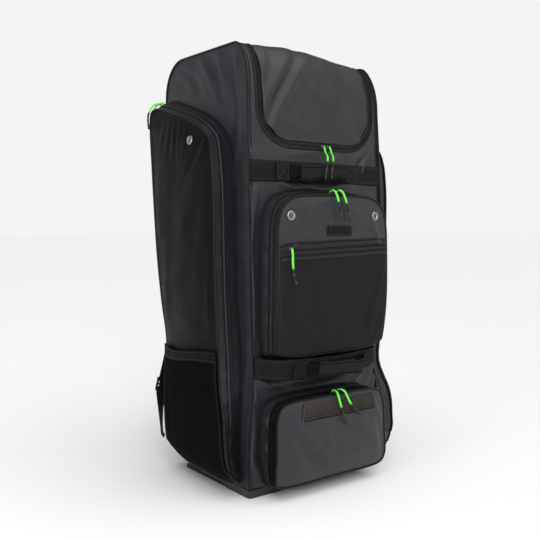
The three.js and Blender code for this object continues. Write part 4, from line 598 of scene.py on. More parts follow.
def cloth(name, grids, finish, *nodes, wall=WALL, away=MIDDLE):
    """Cloth from grids of points on its outer face, sewn together where they meet, with a wall behind."""
    points, faces, cut, wear = [], [], [], []
    start = 0
    for grid in grids:
        rows, width = grid.shape[:2]
        at = np.arange(rows * width).reshape(rows, width) + start
        quads = np.stack([at[:-1, :-1], at[:-1, 1:], at[1:, 1:], at[1:, :-1]], -1).reshape(-1, 4)
        normal = np.cross(grid[:-1, 1:] - grid[:-1, :-1], grid[1:, :-1] - grid[:-1, :-1])
        if np.sum(normal * (grid[:-1, :-1] - np.array(away))) < 0:
            quads = quads[:, ::-1]
        across = np.pad(np.cumsum(np.linalg.norm(np.diff(grid, axis=1), axis=2), axis=1), ((0, 0), (1, 0)))
        up = np.pad(np.cumsum(np.linalg.norm(np.diff(grid, axis=0), axis=2), axis=0), ((1, 0), (0, 0)))
        edge = np.minimum(np.minimum(across, across[:, -1:] - across), np.minimum(up, up[-1:] - up))
        points.append(grid.reshape(-1, 3))
        faces.append(quads)
        cut.append(np.stack([across, up], -1).reshape(-1, 2))
        wear.append(np.exp(-edge / 5).ravel())
        start += rows * width
    made = new_piece(name, np.vstack(points), np.vstack(faces), np.vstack(cut), np.concatenate(wear))
    shape = bmesh.new()
    shape.from_mesh(made.data)
    bmesh.ops.remove_doubles(shape, verts=shape.verts, dist=0.05 * MM)
    shape.to_mesh(made.data)
    shape.free()
    skin = made.modifiers.new("wall", "SOLIDIFY")
    skin.thickness = wall * MM
    skin.offset = -1
    return dress(made, finish, *nodes)


def loft(name, rings, finish, *nodes, closed=False):
    """A closed solid through rings of points, with flat ends unless its last ring meets its first."""
    rings = np.asarray(rings, float)
    count, sides = rings.shape[:2]
    at = np.arange(count * sides).reshape(count, sides)
    quads = np.stack([at[:-1], np.roll(at[:-1], -1, 1), np.roll(at[1:], -1, 1), at[1:]], -1).reshape(-1, 4).tolist()
    if closed:
        quads += np.stack([at[-1], np.roll(at[-1], -1), np.roll(at[0], -1), at[0]], -1).tolist()
    else:
        quads += [at[0][::-1].tolist(), at[-1].tolist()]
    middles = rings.mean(axis=1)
    along = np.repeat(runs(middles), sides)
    width = np.cumsum(np.linalg.norm(np.roll(rings[0], -1, 0) - rings[0], axis=1))
    made = new_piece(name, rings.reshape(-1, 3), quads, np.stack([np.tile(width, count), along], 1))
    made.data.polygons.foreach_set("use_smooth", [len(face) <= 4 for face in quads])
    shape = bmesh.new()
    shape.from_mesh(made.data)
    bmesh.ops.recalc_face_normals(shape, faces=shape.faces)
    shape.to_mesh(made.data)
    shape.free()
    return dress(made, finish, *nodes)


def round_rings(path, ways, radius, sides=12):
    """Round sections along a line. The radius may change along it."""
    path, ways = np.asarray(path, float), np.broadcast_to(np.asarray(ways, float), np.shape(path))
    along = unit(np.gradient(path, axis=0))
    first = unit(ways - along * np.sum(ways * along, axis=1, keepdims=True))
    second = np.cross(along, first)
    turn = np.linspace(0, 2 * math.pi, sides, endpoint=False)
    radius = np.broadcast_to(np.asarray(radius, float), (len(path),))[:, None, None]
    circle = np.cos(turn)[None, :, None] * first[:, None] + np.sin(turn)[None, :, None] * second[:, None]
    return path[:, None] + radius * circle


def flat_rings(middles, across, out, sides=20, square=0.35):
    """Flat sections with rounded edges: across and out are half their width and thickness."""
    turn = np.linspace(0, 2 * math.pi, sides, endpoint=False)
    wide = np.sign(np.cos(turn)) * np.abs(np.cos(turn)) ** square
    thick = np.sign(np.sin(turn)) * np.abs(np.sin(turn)) ** (square + 0.25)
    return middles[:, None] + wide[None, :, None] * across[:, None] + thick[None, :, None] * out[:, None]


def bits(name, lines, finish, pitch, size, lift=0.3, slant=0.0, side=0.0):
    """Rows of small six-cornered bits, such as stitches and coil teeth. Size is along, across and out."""
    points, faces = [], []
    start = 0
    for line, ways in lines:
        run = runs(line)
        count = int(run[-1] / pitch)
        if count < 1:
            continue
        at = (np.arange(count) + 0.5) * run[-1] / count
        centre, way = (np.stack([np.interp(at, run, v[:, k]) for k in range(3)], 1) for v in (line, ways))
        way = unit(way)
        along = np.gradient(line, run, axis=0)
        along = unit(np.stack([np.interp(at, run, along[:, k]) for k in range(3)], 1))
        across = np.cross(way, along)
        centre = centre + lift * way + side * across
        along, across = (along * math.cos(slant) + across * math.sin(slant),
                         across * math.cos(slant) - along * math.sin(slant))
        arms = [v * s / 2 for v, s in zip((along, across, way), size)]
        corners = np.stack([centre + sign * arm for arm in arms for sign in (1, -1)], 1)
        first = start + 6 * np.arange(count)[:, None]
        for a, b, c in ((0, 2, 4), (2, 1, 4), (1, 3, 4), (3, 0, 4), (2, 0, 5), (1, 2, 5), (3, 1, 5), (0, 3, 5)):
            faces.append(np.hstack([first + a, first + b, first + c]))
        points.append(corners.reshape(-1, 3))
        start += 6 * count
    made = new_piece(name, np.vstack(points), np.vstack(faces))
    made.data.polygons.foreach_set("use_smooth", np.zeros(len(made.data.polygons), bool))
    return dress(made, finish)


def facing(line, way):
    """The same way out for each point of a line."""
    return np.tile(np.array(way, float), (len(line), 1))


def flat_size(grid):
    """Width and length in metres of the cut that a grid of points was laid from."""
    return tuple(float(np.linalg.norm(np.diff(grid, axis=a), axis=-1).sum(a).mean()) * MM for a in (1, 0))


def edge_lines(grid, away=MIDDLE, low=None, high=None, left=None, right=None):
    """Lines along a grid's edges, so many cells in from each, with the way out along them."""
    ways = grid_out(grid, away)
    lines = []
    for step, rows in ((low, True), (high and -1 - high, True), (left, False), (right and -1 - right, False)):
        if step is None:
            continue
        lines.append((grid[step], ways[step]) if rows else (grid[:, step], ways[:, step]))
    return lines


def stitches(name, lines):
    return bits(name, lines, "thread", pitch=4.0, size=(3.4, 0.9, 0.7), lift=0.25)


def coil(name, line, ways):
    """A closed zip's coil: two rows of slanting loops and the gap between them."""
    rows = [(line, ways), (line[::-1], ways[::-1])]
    return bits(name, rows, "coil", pitch=1.9, size=(1.3, 3.6, 1.6), lift=0.5, slant=0.12, side=1.5)


def net(name, place, width, height, pitch, strand, finish, *nodes):
    """A knitted net of six-sided holes over a rectangle in millimetres, laid where place says."""
    side = pitch / math.sqrt(3)
    row, column = np.meshgrid(np.arange(int(height / (1.5 * side))), np.arange(int(width / pitch)), indexing="ij")
    across = (column + 0.5 + 0.5 * (row % 2)) * pitch
    up = (row + 0.6) * 1.5 * side
    turn = np.radians(30 + 60 * np.arange(6))
    corners = np.stack([across[..., None] + side * np.cos(turn), up[..., None] + side * np.sin(turn)], -1)
    corners = np.clip(corners.reshape(-1, 2), 0, (width, height))
    flat, faces = np.unique(np.round(corners, 2), axis=0, return_inverse=True)
    made = new_piece(name, place(flat[:, 0] / width, flat[:, 1] / height), faces.reshape(-1, 6), flat)
    yarn = made.modifiers.new("yarn", "WIREFRAME")
    yarn.thickness = strand * MM
    yarn.use_even_offset = False
    return dress(made, finish, *nodes)


def plug(tree, node, inputs):
    """Sets or links a node's inputs."""
    for name, value in inputs.items():
        if isinstance(value, bpy.types.NodeSocket):
            tree.links.new(value, node.inputs[name])
        else:
            node.inputs[name].default_value = value
    return node


def add(tree, kind, inputs=None, **settings):
    """Adds a node with its settings, and sets or links its inputs."""
    made = tree.nodes.new(kind)
    for name, value in settings.items():
        setattr(made, name, value)
    return plug(tree, made, inputs or {})


def span_of(tree, value, low, high, *, out=(0.0, 1.0)):
    """A value spread from one span of numbers to another."""
    ends = {"Value": value, "From Min": low, "From Max": high, "To Min": out[0], "To Max": out[1]}
    return add(tree, "ShaderNodeMapRange", ends).outputs[0]


def mixed(tree, share, first, second, blend="MIX"):
    """Two colours mixed by a share."""
    inputs = {0: share, 6: first, 7: second}
    return add(tree, "ShaderNodeMix", inputs, data_type="RGBA", blend_type=blend).outputs[2]


def scaled(colour, factor, lift=0.0):
    """A colour made paler or darker."""
    return tuple(min(1, c * factor + lift) for c in colour[:3]) + (1.0,)


def bare_material(name):
    made = bpy.data.materials.new(name)
    made.use_nodes = True
    tree = made.node_tree
    return made, tree, tree.nodes["Principled BSDF"]


def ridges(tree, cut, size, way):
    """Even ridges of one size in millimetres, one for each thread."""
    inputs = {"Vector": cut, "Scale": math.pi / (10 * size * MM)}
    return add(tree, "ShaderNodeTexWave", inputs, bands_direction=way).outputs[1]


def noise(tree, place, scale, detail, **more):
    """Noise with a number of waves to the metre."""
    return add(tree, "ShaderNodeTexNoise", {"Vector": place, "Scale": scale, "Detail": detail, **more}).outputs[0]


def bumps(tree, height, strength, distance):
    """Small relief, with its depth in millimetres."""
    inputs = {"Height": height, "Strength": strength, "Distance": distance * MM}
    return add(tree, "ShaderNodeBump", inputs).outputs[0]


def woven(name, colour, thread, relief, roughness, rib=1.0, shift=0.35, specular=0.5):
    """Woven cloth: warp and weft ridges, uneven dye and a rubbed, paler edge along its seams."""
    made, tree, shader = bare_material(name)
    cut = add(tree, "ShaderNodeUVMap", uv_map="cut").outputs[0]
    warp, weft = ridges(tree, cut, thread, "X"), ridges(tree, cut, thread * rib, "Y")
    weave = add(tree, "ShaderNodeMath", {0: warp, 1: weft}, operation="MULTIPLY").outputs[0]
    blotch = noise(tree, cut, 26.0, 5.0, Roughness=0.6)
    fleck = span_of(tree, noise(tree, cut, 900.0, 2.0), 0.35, 0.7, out=(0.8, 1.25))
    wear = add(tree, "ShaderNodeAttribute", attribute_name="wear").outputs["Fac"]
    dye = span_of(tree, blotch, 0.3, 0.7)
    shade = mixed(tree, dye, scaled(colour, 1 - shift * 0.6), scaled(colour, 1 + shift))
    tone = mixed(tree, 1.0, shade, fleck, "MULTIPLY")
    rub = add(tree, "ShaderNodeMath", {0: wear, 1: 0.35}, operation="MULTIPLY").outputs[0]
    plug(tree, shader, {
        "Base Color": mixed(tree, rub, tone, scaled(colour, 1.6, 0.002)),
        "Roughness": span_of(tree, blotch, 0.3, 0.7, out=(roughness - 0.05, roughness + 0.07)),
        "Normal": bumps(tree, weave, 0.6, relief),
        "Specular IOR Level": specular,
    })
    return made


def moulded(name, colour, roughness, grain=0.4, specular=0.25):
    """Moulded nylon: a fine spark-eroded grain that dulls the shine, paler where it is rubbed."""
    made, tree, shader = bare_material(name)
    place = add(tree, "ShaderNodeTexCoord").outputs["Object"]
    pits = noise(tree, place, 1 / (grain * MM), 3.0)
    rub = noise(tree, place, 90.0, 4.0)
    plug(tree, shader, {
        "Base Color": mixed(tree, rub, colour, scaled(colour, 1.8)),
        "Roughness": span_of(tree, rub, 0.0, 1.0, out=(roughness - 0.1, roughness + 0.1)),
        "Normal": bumps(tree, pits, 0.35, 0.1),
        "Specular IOR Level": specular,
    })
    return made


def plated(name, colour, roughness):
    """Nickel plate on brass: bright metal with fine scuffs and a slight cloud."""
    made, tree, shader = bare_material(name)
    place = add(tree, "ShaderNodeTexCoord").outputs["Object"]
    cloud = noise(tree, place, 260.0, 6.0)
    plug(tree, shader, {
        "Base Color": mixed(tree, cloud, colour, scaled(colour, 0.7)),
        "Roughness": span_of(tree, cloud, 0.0, 1.0, out=(roughness - 0.1, roughness + 0.15)),
        "Metallic": 1.0,
    })
    return made


def braided(name, green, dark):
    """Braided polyester cord: bright strands that cross at a slant, darkened between them as painted shade in the
    braid's grooves, and a dark speckled grip at the end.
    """
    made, tree, shader = bare_material(name)
    cut = add(tree, "ShaderNodeUVMap", uv_map="cut").outputs[0]
    ends = add(tree, "ShaderNodeAttribute", attribute_name="grip").outputs["Fac"]
    turned = [add(tree, "ShaderNodeMapping", {"Vector": cut, "Rotation": (0, 0, turn)}) for turn in (0.7, -0.7)]
    strands = [ridges(tree, way.outputs[0], 1.1, "X") for way in turned]
    braid = add(tree, "ShaderNodeMath", {0: strands[0], 1: strands[1]}, operation="MAXIMUM").outputs[0]
    spots = span_of(tree, noise(tree, cut, 620.0, 2.0), 0.57, 0.64)
    grip = mixed(tree, spots, dark, scaled(dark, 12, 0.25))
    # Painted shade: the green darkens to 0.55 in the grooves between the strands
    fibre = mixed(tree, braid, scaled(green, 0.55), green)
    plug(tree, shader, {
        "Base Color": mixed(tree, ends, fibre, grip),
        "Normal": bumps(tree, braid, 0.7, 0.3),
        "Roughness": 0.62,
        "Specular IOR Level": 0.2,
    })
    return made


def make_finish(finish):
    colours = bpy.context.scene.kit_bag_colours
    sizes = bpy.context.scene.kit_bag_sizes
    thread = sizes.thread * 1000
    if finish == "coated":  # 900D polyester with a satin polyurethane coat: soft broad highlights on every fold
        return woven("coated_polyester_900d", tuple(colours.front_cloth), thread, 0.22, 0.34, specular=0.42)
    if finish == "side":  # the same cloth with a duller coat: darker, with wider and weaker highlights
        return woven("coated_polyester_600d", tuple(colours.side_cloth), thread, 0.22, 0.44, specular=0.2)
    if finish == "pocket":  # a darker copy of the side cloth, nearly black with only a faint shine: painted shade on the side pockets' faces
        return woven("dull_polyester_600d", tuple(colours.pocket_cloth), thread, 0.22, 0.46, specular=0.065)
    if finish == "matt":  # uncoated polyester: an even dark face that takes little light
        return woven("brushed_polyester", tuple(colours.matt_cloth), thread * 0.8, 0.2, 0.75, specular=0.16)
    if finish == "webbing":  # nylon webbing: coarse ribs across, near black with a warm cast
        return woven("nylon_webbing", tuple(colours.webbing), thread * 2.6, 0.5, 0.72, rib=0.55, specular=0.16)
    if finish == "binding":  # thin ribbed tape folded over an edge; the handles' straps take it too, darker than their webbing, as painted shade round the handles' ends
        colour = scaled(colours.webbing, 0.6)
        return woven("grosgrain_binding_and_handle_shade", colour, thread * 1.5, 0.3, 0.7, rib=0.5, specular=0.08)
    if finish == "tape":  # herringbone zip tape: flat and black
        return woven("zip_tape", tuple(colours.tape), thread, 0.2, 0.6, rib=1.6, specular=0.25)
    if finish == "piping":  # coated cord in a bias strip: a thin black line with a bright edge
        return woven("vinyl_piping", tuple(colours.piping), thread * 0.8, 0.1, 0.36, specular=0.2)
    if finish == "thread":  # bonded nylon thread, a shade lighter than the cloth
        return moulded("bonded_thread", tuple(colours.thread), 0.5, 0.3)
    if finish == "coil":  # nylon coil: small glossy black loops
        return moulded("nylon_coil", tuple(colours.piping), 0.4, 0.5)
    if finish == "plastic":  # moulded acetal: black, with a fine grain
        return moulded("moulded_acetal", tuple(colours.plastic), 0.42)
    if finish == "label":  # woven satin label: smooth and black
        return woven("satin_label", tuple(colours.piping), 0.4, 0.06, 0.45, specular=0.12)
    if finish == "yarn":  # knitted polyester mesh
        return moulded("knitted_mesh_yarn", tuple(colours.net), 0.7, 0.5, specular=0.1)
    if finish == "vent":  # air mesh, browner and paler than the pocket's
        return moulded("air_mesh_yarn", tuple(colours.vent), 0.7, 0.5)
    if finish == "slider":  # the same plate tumbled until it is duller and darker
        return plated("tumbled_nickel", scaled(colours.nickel, 0.45), 0.42)
    if finish == "nickel":  # bright plate: small sharp highlights
        return plated("nickel_plated_brass", tuple(colours.nickel), 0.25)
    return braided("braided_polyester", tuple(colours.cord), tuple(colours.grip))


FINISHES = {}


def finish_named(finish):
    if finish not in FINISHES:
        FINISHES[finish] = make_finish(finish)
    return FINISHES[finish]


# Settings that a user would change
def colour_of(label, code, description):
    return bpy.props.FloatVectorProperty(
        name=label, description=description, subtype="COLOR", size=4, min=0, max=1, default=linear(code)
    )


class KitBagSizes(bpy.types.PropertyGroup):
    """Sizes of the bag's finer parts."""

    thread: bpy.props.FloatProperty(
        name="Thread spacing", unit="LENGTH", default=0.0013, min=0.0003, max=0.004,
        description="Spacing of the cloth's threads, drawn about twice as coarse as real so that it shows",
    )
    piping: bpy.props.FloatProperty(
        name="Piping radius", unit="LENGTH", default=0.0022, min=0.001, max=0.004,
        description="Radius of the piping round the panels",
    )
    mesh_pitch: bpy.props.FloatProperty(
        name="Net pitch", unit="LENGTH", default=0.0042, min=0.003, max=0.01,
        description="Distance between the holes of the side nets",
    )
    vent_pitch: bpy.props.FloatProperty(
        name="Vent pitch", unit="LENGTH", default=0.0048, min=0.002, max=0.008,
        description="Distance between the holes of the vent",
    )


class KitBagColours(bpy.types.PropertyGroup):
    """Colours of the bag's materials."""

    front_cloth: colour_of("Front cloth", "#1e1e23", "Satin coated cloth of the front and the pockets")
    side_cloth: colour_of("Side cloth", "#242429", "Coated cloth of the sides and the back")
    # Painted shade: the side pockets' cloth is set nearly black, far darker than the side cloth, for the shade on their
    # faces
    pocket_cloth: colour_of("Side pocket cloth", "#050506", "Dull coated cloth of the side pockets")
    matt_cloth: colour_of("Matt cloth", "#161618", "Uncoated cloth of the slip pocket and the grips")
    webbing: colour_of("Webbing", "#11100f", "Webbing of the bands, handles and straps")
    tape: colour_of("Zip tape", "#1b1b1d", "Zip tape")
    piping: colour_of("Piping", "#0c0c0d", "Piping, zip coils and label")
    net: colour_of("Net", "#060607", "Side nets")
    thread: colour_of("Thread", "#37373c", "Sewing thread")
    plastic: colour_of("Plastic", "#101012", "Moulded locks and runner")
    vent: colour_of("Vent", "#4c4641", "Air mesh of the low pocket's vent")
    nickel: colour_of("Nickel", "#a29d96", "Eyelets and sliders")
    cord: colour_of("Cord", "#74f052", "Bright pull cords")
    grip: colour_of("Grip", "#070807", "Speckled grips at the cords' ends")


class KitBagOperator:
    """What all the operators share."""

    bl_options = {"REGISTER", "UNDO"}


class KITBAG_OT_stage(KitBagOperator, bpy.types.Operator):
    """Camera, floor and soft studio light"""

    bl_idname = "kit_bag.stage"
    bl_label = "Stage"

    def execute(self, context):
        self.camera(context.scene)
        self.floor(context)
        self.sky(context.scene)
        self.lamps(context.scene)
        context.scene.view_settings.view_transform = "Standard"
        return {"FINISHED"}

    def camera(self, scene):
        lens = bpy.data.cameras.new("camera")
        lens.sensor_width, lens.lens = 36, 49.5
        camera = bpy.data.objects.new("camera", lens)
        camera.location = (-1.078, -1.379, 0.577)
        camera.rotation_euler = (math.radians(86.34), 0, math.radians(-37.4))
        scene.collection.objects.link(camera)
        scene.camera = camera

    def floor(self, context):
        bpy.ops.mesh.primitive_plane_add(size=60, location=(0, 0, -0.0005))
        floor = context.object
        floor.name = "floor"
        paper, tree, shader = bare_material("matt_paper_floor")
        fibre = noise(tree, add(tree, "ShaderNodeTexCoord").outputs["Object"], 400.0, 3.0)
        plug(tree, shader, {
            "Base Color": linear(STUDIO_GREY), "Roughness": 0.9, "Normal": bumps(tree, fibre, 0.05, 0.2),
        })
        floor.data.materials.append(paper)

    def sky(self, scene):
        world = bpy.data.worlds.new("studio")
        world.use_nodes = True
        tree = world.node_tree
        background = tree.nodes["Background"]
        background.inputs["Color"].default_value = linear(STUDIO_GREY)
        way = add(tree, "ShaderNodeTexCoord").outputs["Generated"]
        level = add(tree, "ShaderNodeSeparateXYZ", {"Vector": way}).outputs["Z"]
        dim = span_of(tree, level, 0.3, 0.55, out=(1.0, 0.15))  # the sky darkens above the bag
        tree.links.new(dim, background.inputs["Strength"])
        scene.world = world

    def lamps(self, scene):
        lamps = (  # name, kind, place, aim, power and size, which is the angle of a sun
            ("overhead", "SUN", (0.1, -1.2, 2.8), (0.0, 0.0, 0.0), 2.45, math.radians(85)),
            ("softbox", "AREA", (-1.6, -2.9, 1.9), (0.0, -0.1, 0.6), 27, 1.0),
            ("fill", "AREA", (-3.3, -0.5, 0.9), (-0.1, 0.0, 0.5), 24, 1.6),
        )
        for name, kind, place, aim, power, size in lamps:
            lamp = bpy.data.lights.new(name, kind)
            lamp.energy = power
            if kind == "SUN":
                lamp.angle = size
            else:
                lamp.shape, lamp.size = "DISK", size
            made = bpy.data.objects.new(name, lamp)
            made.location = place
            made.rotation_euler = (Vector(aim) - Vector(place)).to_track_quat("-Z", "Y").to_euler()
            scene.collection.objects.link(made)


class KITBAG_OT_cords(KitBagOperator, bpy.types.Operator):
    """Short doubled pull cords with speckled grips, one on each slider"""

    bl_idname = "kit_bag.cords"
    bl_label = "Pull cords"

    def execute(self, context):
        routes = dict(PULLS)
        for side, label in SIDES:
            for place, route in SIDE_PULLS.items():
                first = (side * (route[0][0] + SLIDER_STAND), *route[0][1:])
                routes[f"side_pull_{label}_{place}"] = (first, *((side * x, y, z) for x, y, z in route[1:]))
        for name, route in routes.items():
            path = smooth_line(route, 2.2)
            run = runs(path)
            grip = np.clip((run - run[-1] * 0.52) / 3, 0, 1)
            end = np.clip((run[-1] - run) / 2.5, 0.25, 1) ** 0.5
            ways = (1, 0, 0) if name.startswith("side") else FORWARD
            rings = round_rings(path, ways, 1.0, CORD_SIDES)
            turn = np.linspace(0, 2 * math.pi, CORD_SIDES, endpoint=False)
            doubled = 1.5 + 1.1 * np.sin(turn) ** 2
            beads = CORD_RADIUS * (1.12 + 0.1 * np.sin(run * 2.1))
            radius = (doubled[None] * (1 - grip[:, None]) + beads[:, None] * grip[:, None]) * end[:, None]
            rings = path[:, None] + (rings - path[:, None]) * radius[..., None]
            cord = loft(name + "_cord", rings, "cord", name)
            shares = cord.data.attributes.new("grip", "FLOAT", "POINT")
            shares.data.foreach_set("value", np.repeat(grip, CORD_SIDES))
        return {"FINISHED"}


def ways_out(y, z):
    """The way out along an outline of the bag in section."""
    dy, dz = np.gradient(y), np.gradient(z)
    length = np.hypot(dy, dz)
    return -dz / length, dy / length


def flap_runs(margin, step, end):
    """Places up the band beside the flap: close together round its corner, then even up to an end."""
    turn = np.linspace(0, math.pi / 2, 16)
    corner = run_at(FLAP_BOTTOM - margin + (FLAP_CORNER + margin) * (1 - np.cos(turn)))
    return np.concatenate([corner, np.arange(corner[-1] + step, end, step), [end]])


class KITBAG_OT_body(KitBagOperator, bpy.types.Operator):
    """Front panel, top flap, sides, back and their piping"""

    bl_idname = "kit_bag.body"
    bl_label = "Body"

    def execute(self, context):
        self.front()
        self.flap()
        self.sides()
        self.back()
        self.piping(context)
        return {"FINISHED"}

    def lifted(self, x, run):
        z = level_of_run(run)
        return on_band(x, run, folded(FRONT_FOLDS, x, z, CREASE) + rumple(x, run))

    def front(self):
        straight = FLAP_WIDTH / 2 - FLAP_CORNER
        margin = ZIP_WIDTH / 2
        low = run_at(np.linspace(PANEL_BOTTOM, FLAP_BOTTOM - margin, 136))
        z = level_of_run(low)
        left, right = SEAM_INSET - half_width(z, -1), half_width(z, 1) - SEAM_INSET
        share = np.linspace(0, 1, 20)
        blocks = [
            left[:, None] + (-straight - left[:, None]) * share,
            np.broadcast_to(np.linspace(-straight, straight, 32)[1:-1], (len(z), 30)),
            straight + (right[:, None] - straight) * share,
        ]
        x = np.hstack(blocks)
        lower = self.lifted(x, low[:, None])
        high = flap_runs(margin, 6, BAND_END)
        z = level_of_run(high)
        real = np.minimum(z, HEIGHT)
        inner = flap_half(z, margin)
        grids = [lower]
        for side in (-1, 1):
            edge = half_width(real, side) - SEAM_INSET
            across = edge[:, None] + (inner[:, None] - edge[:, None]) * share
            grids.append(self.lifted(side * across, high[:, None]))
        hinge = np.linspace(run_on_top(FLAP_HINGE + 4), BAND_END, 4)
        grids.append(self.lifted(np.linspace(-FLAP_WIDTH / 2 - margin, FLAP_WIDTH / 2 + margin, 50), hinge[:, None]))
        cloth("front_panel_cloth", grids, "coated", "front_panel")
        lines = edge_lines(lower, left=1, right=1)
        stitches("front_panel_stitches", lines)

    def flap(self):
        margin = -ZIP_WIDTH / 2
        run = flap_runs(margin, 5, run_on_top(FLAP_HINGE + 4))
        z = level_of_run(run)
        x = flap_half(z, margin)[:, None] * np.linspace(-1, 1, 60)
        inset = np.minimum(flap_half(z, margin)[:, None] - np.abs(x), (run - run[0])[:, None])
        hem = -1.3 * np.exp(-(((inset - 7) / 2.6) ** 2)) + 0.6 * np.exp(-((inset / 5) ** 2))
        lift = folded(FLAP_FOLDS, x, z[:, None], CREASE) + rumple(x, run[:, None]) + hem
        grid = on_band(x, run[:, None], lift)
        cloth("lid_flap_cloth", [grid], "coated", "lid_flap")
        stitches("lid_flap_stitches", edge_lines(grid, low=2, left=1, right=1))

    def sides(self):
        z = side_levels(6)[:, None]
        share = np.linspace(0, 1, 56)
        y = front_line(z) + (back_line(z) - front_line(z)) * share
        for side, label in SIDES:
            edge = np.minimum(1, 14 * share * (1 - share)) * np.clip((HEIGHT - z) / 20, 0, 1)
            x = side_surface(side, y, z) + edge * (folded(SIDE_FOLDS, y, z, CREASE) + rumple(y, z))
            grid = np.stack([side * x, y, z + 0 * y], -1)
            cloth(f"side_panel_cloth_{label}", [grid], "side", f"side_panel_{label}")
            stitches(f"side_panel_stitches_{label}", edge_lines(grid, left=1, right=1))

    def back(self):
        z = side_levels(7)[::-1]
        top = np.linspace(FLAP_HINGE + ZIP_WIDTH, back_line(HEIGHT), 4)[:-1]
        y = np.concatenate([top, back_line(z)])
        z = np.concatenate([np.full(top.shape, HEIGHT), z])
        share = np.linspace(0, 1, 56)
        left, right = SEAM_INSET - half_width(z, -1), half_width(z, 1) - SEAM_INSET
        x = left[:, None] + (right - left)[:, None] * share
        out_y, out_z = ways_out(y, z)
        crown = FRONT_CROWN * crown_share(x, z[:, None]) * curve_in(z, BACK_SHOULDER, TOP_BACK_DROP)[:, None]
        soft = np.minimum(1, 14 * share * (1 - share)) * (folded(BACK_FOLDS, x, z[:, None]) + rumple(x, z[:, None]))
        rise = crown + soft * (y[:, None] > FLAP_HINGE + ZIP_WIDTH + 4)
        grid = np.stack([x, y[:, None] + out_y[:, None] * rise, z[:, None] + out_z[:, None] * rise], -1)
        cloth("back_panel_cloth", [grid], "side", "back_panel")
        stitches("back_panel_stitches", edge_lines(grid, left=1, right=1))

    def piping(self, context):
        radius = context.scene.kit_bag_sizes.piping * 1000
        z = side_levels(5)
        top = np.linspace(front_line(HEIGHT), back_line(HEIGHT), 30)[1:-1]
        y = np.concatenate([front_line(z), top, back_line(z)[::-1]])
        z = np.concatenate([z, np.full(top.shape, HEIGHT), z[::-1]])
        out_y, out_z = ways_out(y, z)
        for side, label in SIDES:
            stand = radius * 0.75
            path = np.stack([side * (half_width(z, side) + stand - 1), y + out_y * stand, z + out_z * stand], 1)
            path, ways = resample(path, 5, facing(path, (side, 0, 0)))
            loft(f"body_piping_cord_{label}", round_rings(path, ways, radius, 10), "piping", f"body_piping_{label}")
            flange = np.stack([side * (half_width(z, side) - 7), y + out_y * 0.6, z + out_z * 0.6], 1)
            flange, ways = resample(flange, 6, facing(flange, (side, 0, 0)))
            loft(f"body_seam_ridge_{label}", round_rings(flange, ways, 1.2, 8), "piping")


class KITBAG_OT_base(KitBagOperator, bpy.types.Operator):
    """Stiffened boot round the foot and the moulded runner under it"""

    bl_idname = "kit_bag.base"
    bl_label = "Base"

    def execute(self, context):
        left, right, front, back = -half_width(0, -1), half_width(0, 1), front_line(0), back_line(0)
        points = []
        turn = np.linspace(0, math.pi / 2, 7)
        for x, y, start in ((right, back, 0), (left, back, 90), (left, front, 180), (right, front, 270)):
            cx, cy = x - math.copysign(BASE_CORNER, x), y - math.copysign(BASE_CORNER, y)
            angle = turn + math.radians(start)
            points.append(np.stack([cx + BASE_CORNER * np.cos(angle), cy + BASE_CORNER * np.sin(angle), 0 * angle], 1))
        line = resample(np.vstack([*points, points[0][:1]]), 5)
        arch = np.clip((SKID_LENGTH / 2 + 6 - np.abs(line[:, 1] - SKID_CENTRE)) / 12, 0, 1)
        low = SKID_HEIGHT * arch * arch * (3 - 2 * arch)
        rows = []
        for share in np.linspace(0, 1, 6):
            z = low + (BASE_HEIGHT + 1 - low) * share
            swell = 1 + 0.006 * math.sin(math.pi * share)
            rows.append(np.stack([line[:, 0] * swell, line[:, 1] * swell, z], 1))
        grid = np.array(rows)
        plate = np.stack(np.meshgrid(np.linspace(left + 2, right - 2, 12), np.linspace(front + 2, back - 2, 10)), -1)
        plate = np.concatenate([plate, np.full((*plate.shape[:2], 1), SKID_HEIGHT + 0.5)], -1)
        cloth("base_boot_cloth", [grid], "coated", "base_boot")
        cloth("base_plate_cloth", [plate], "matt", wall=2)
        seam = grid[-1] + (0, 0, -1.0)
        ways = unit(seam - np.array([0, 5, BASE_HEIGHT]))
        loft("base_seam_piping", round_rings(seam[:-1] + ways[:-1] * 1.0, ways[:-1], 1.6, 8), "piping", closed=True)
        mould("base_skid")
        return {"FINISHED"}


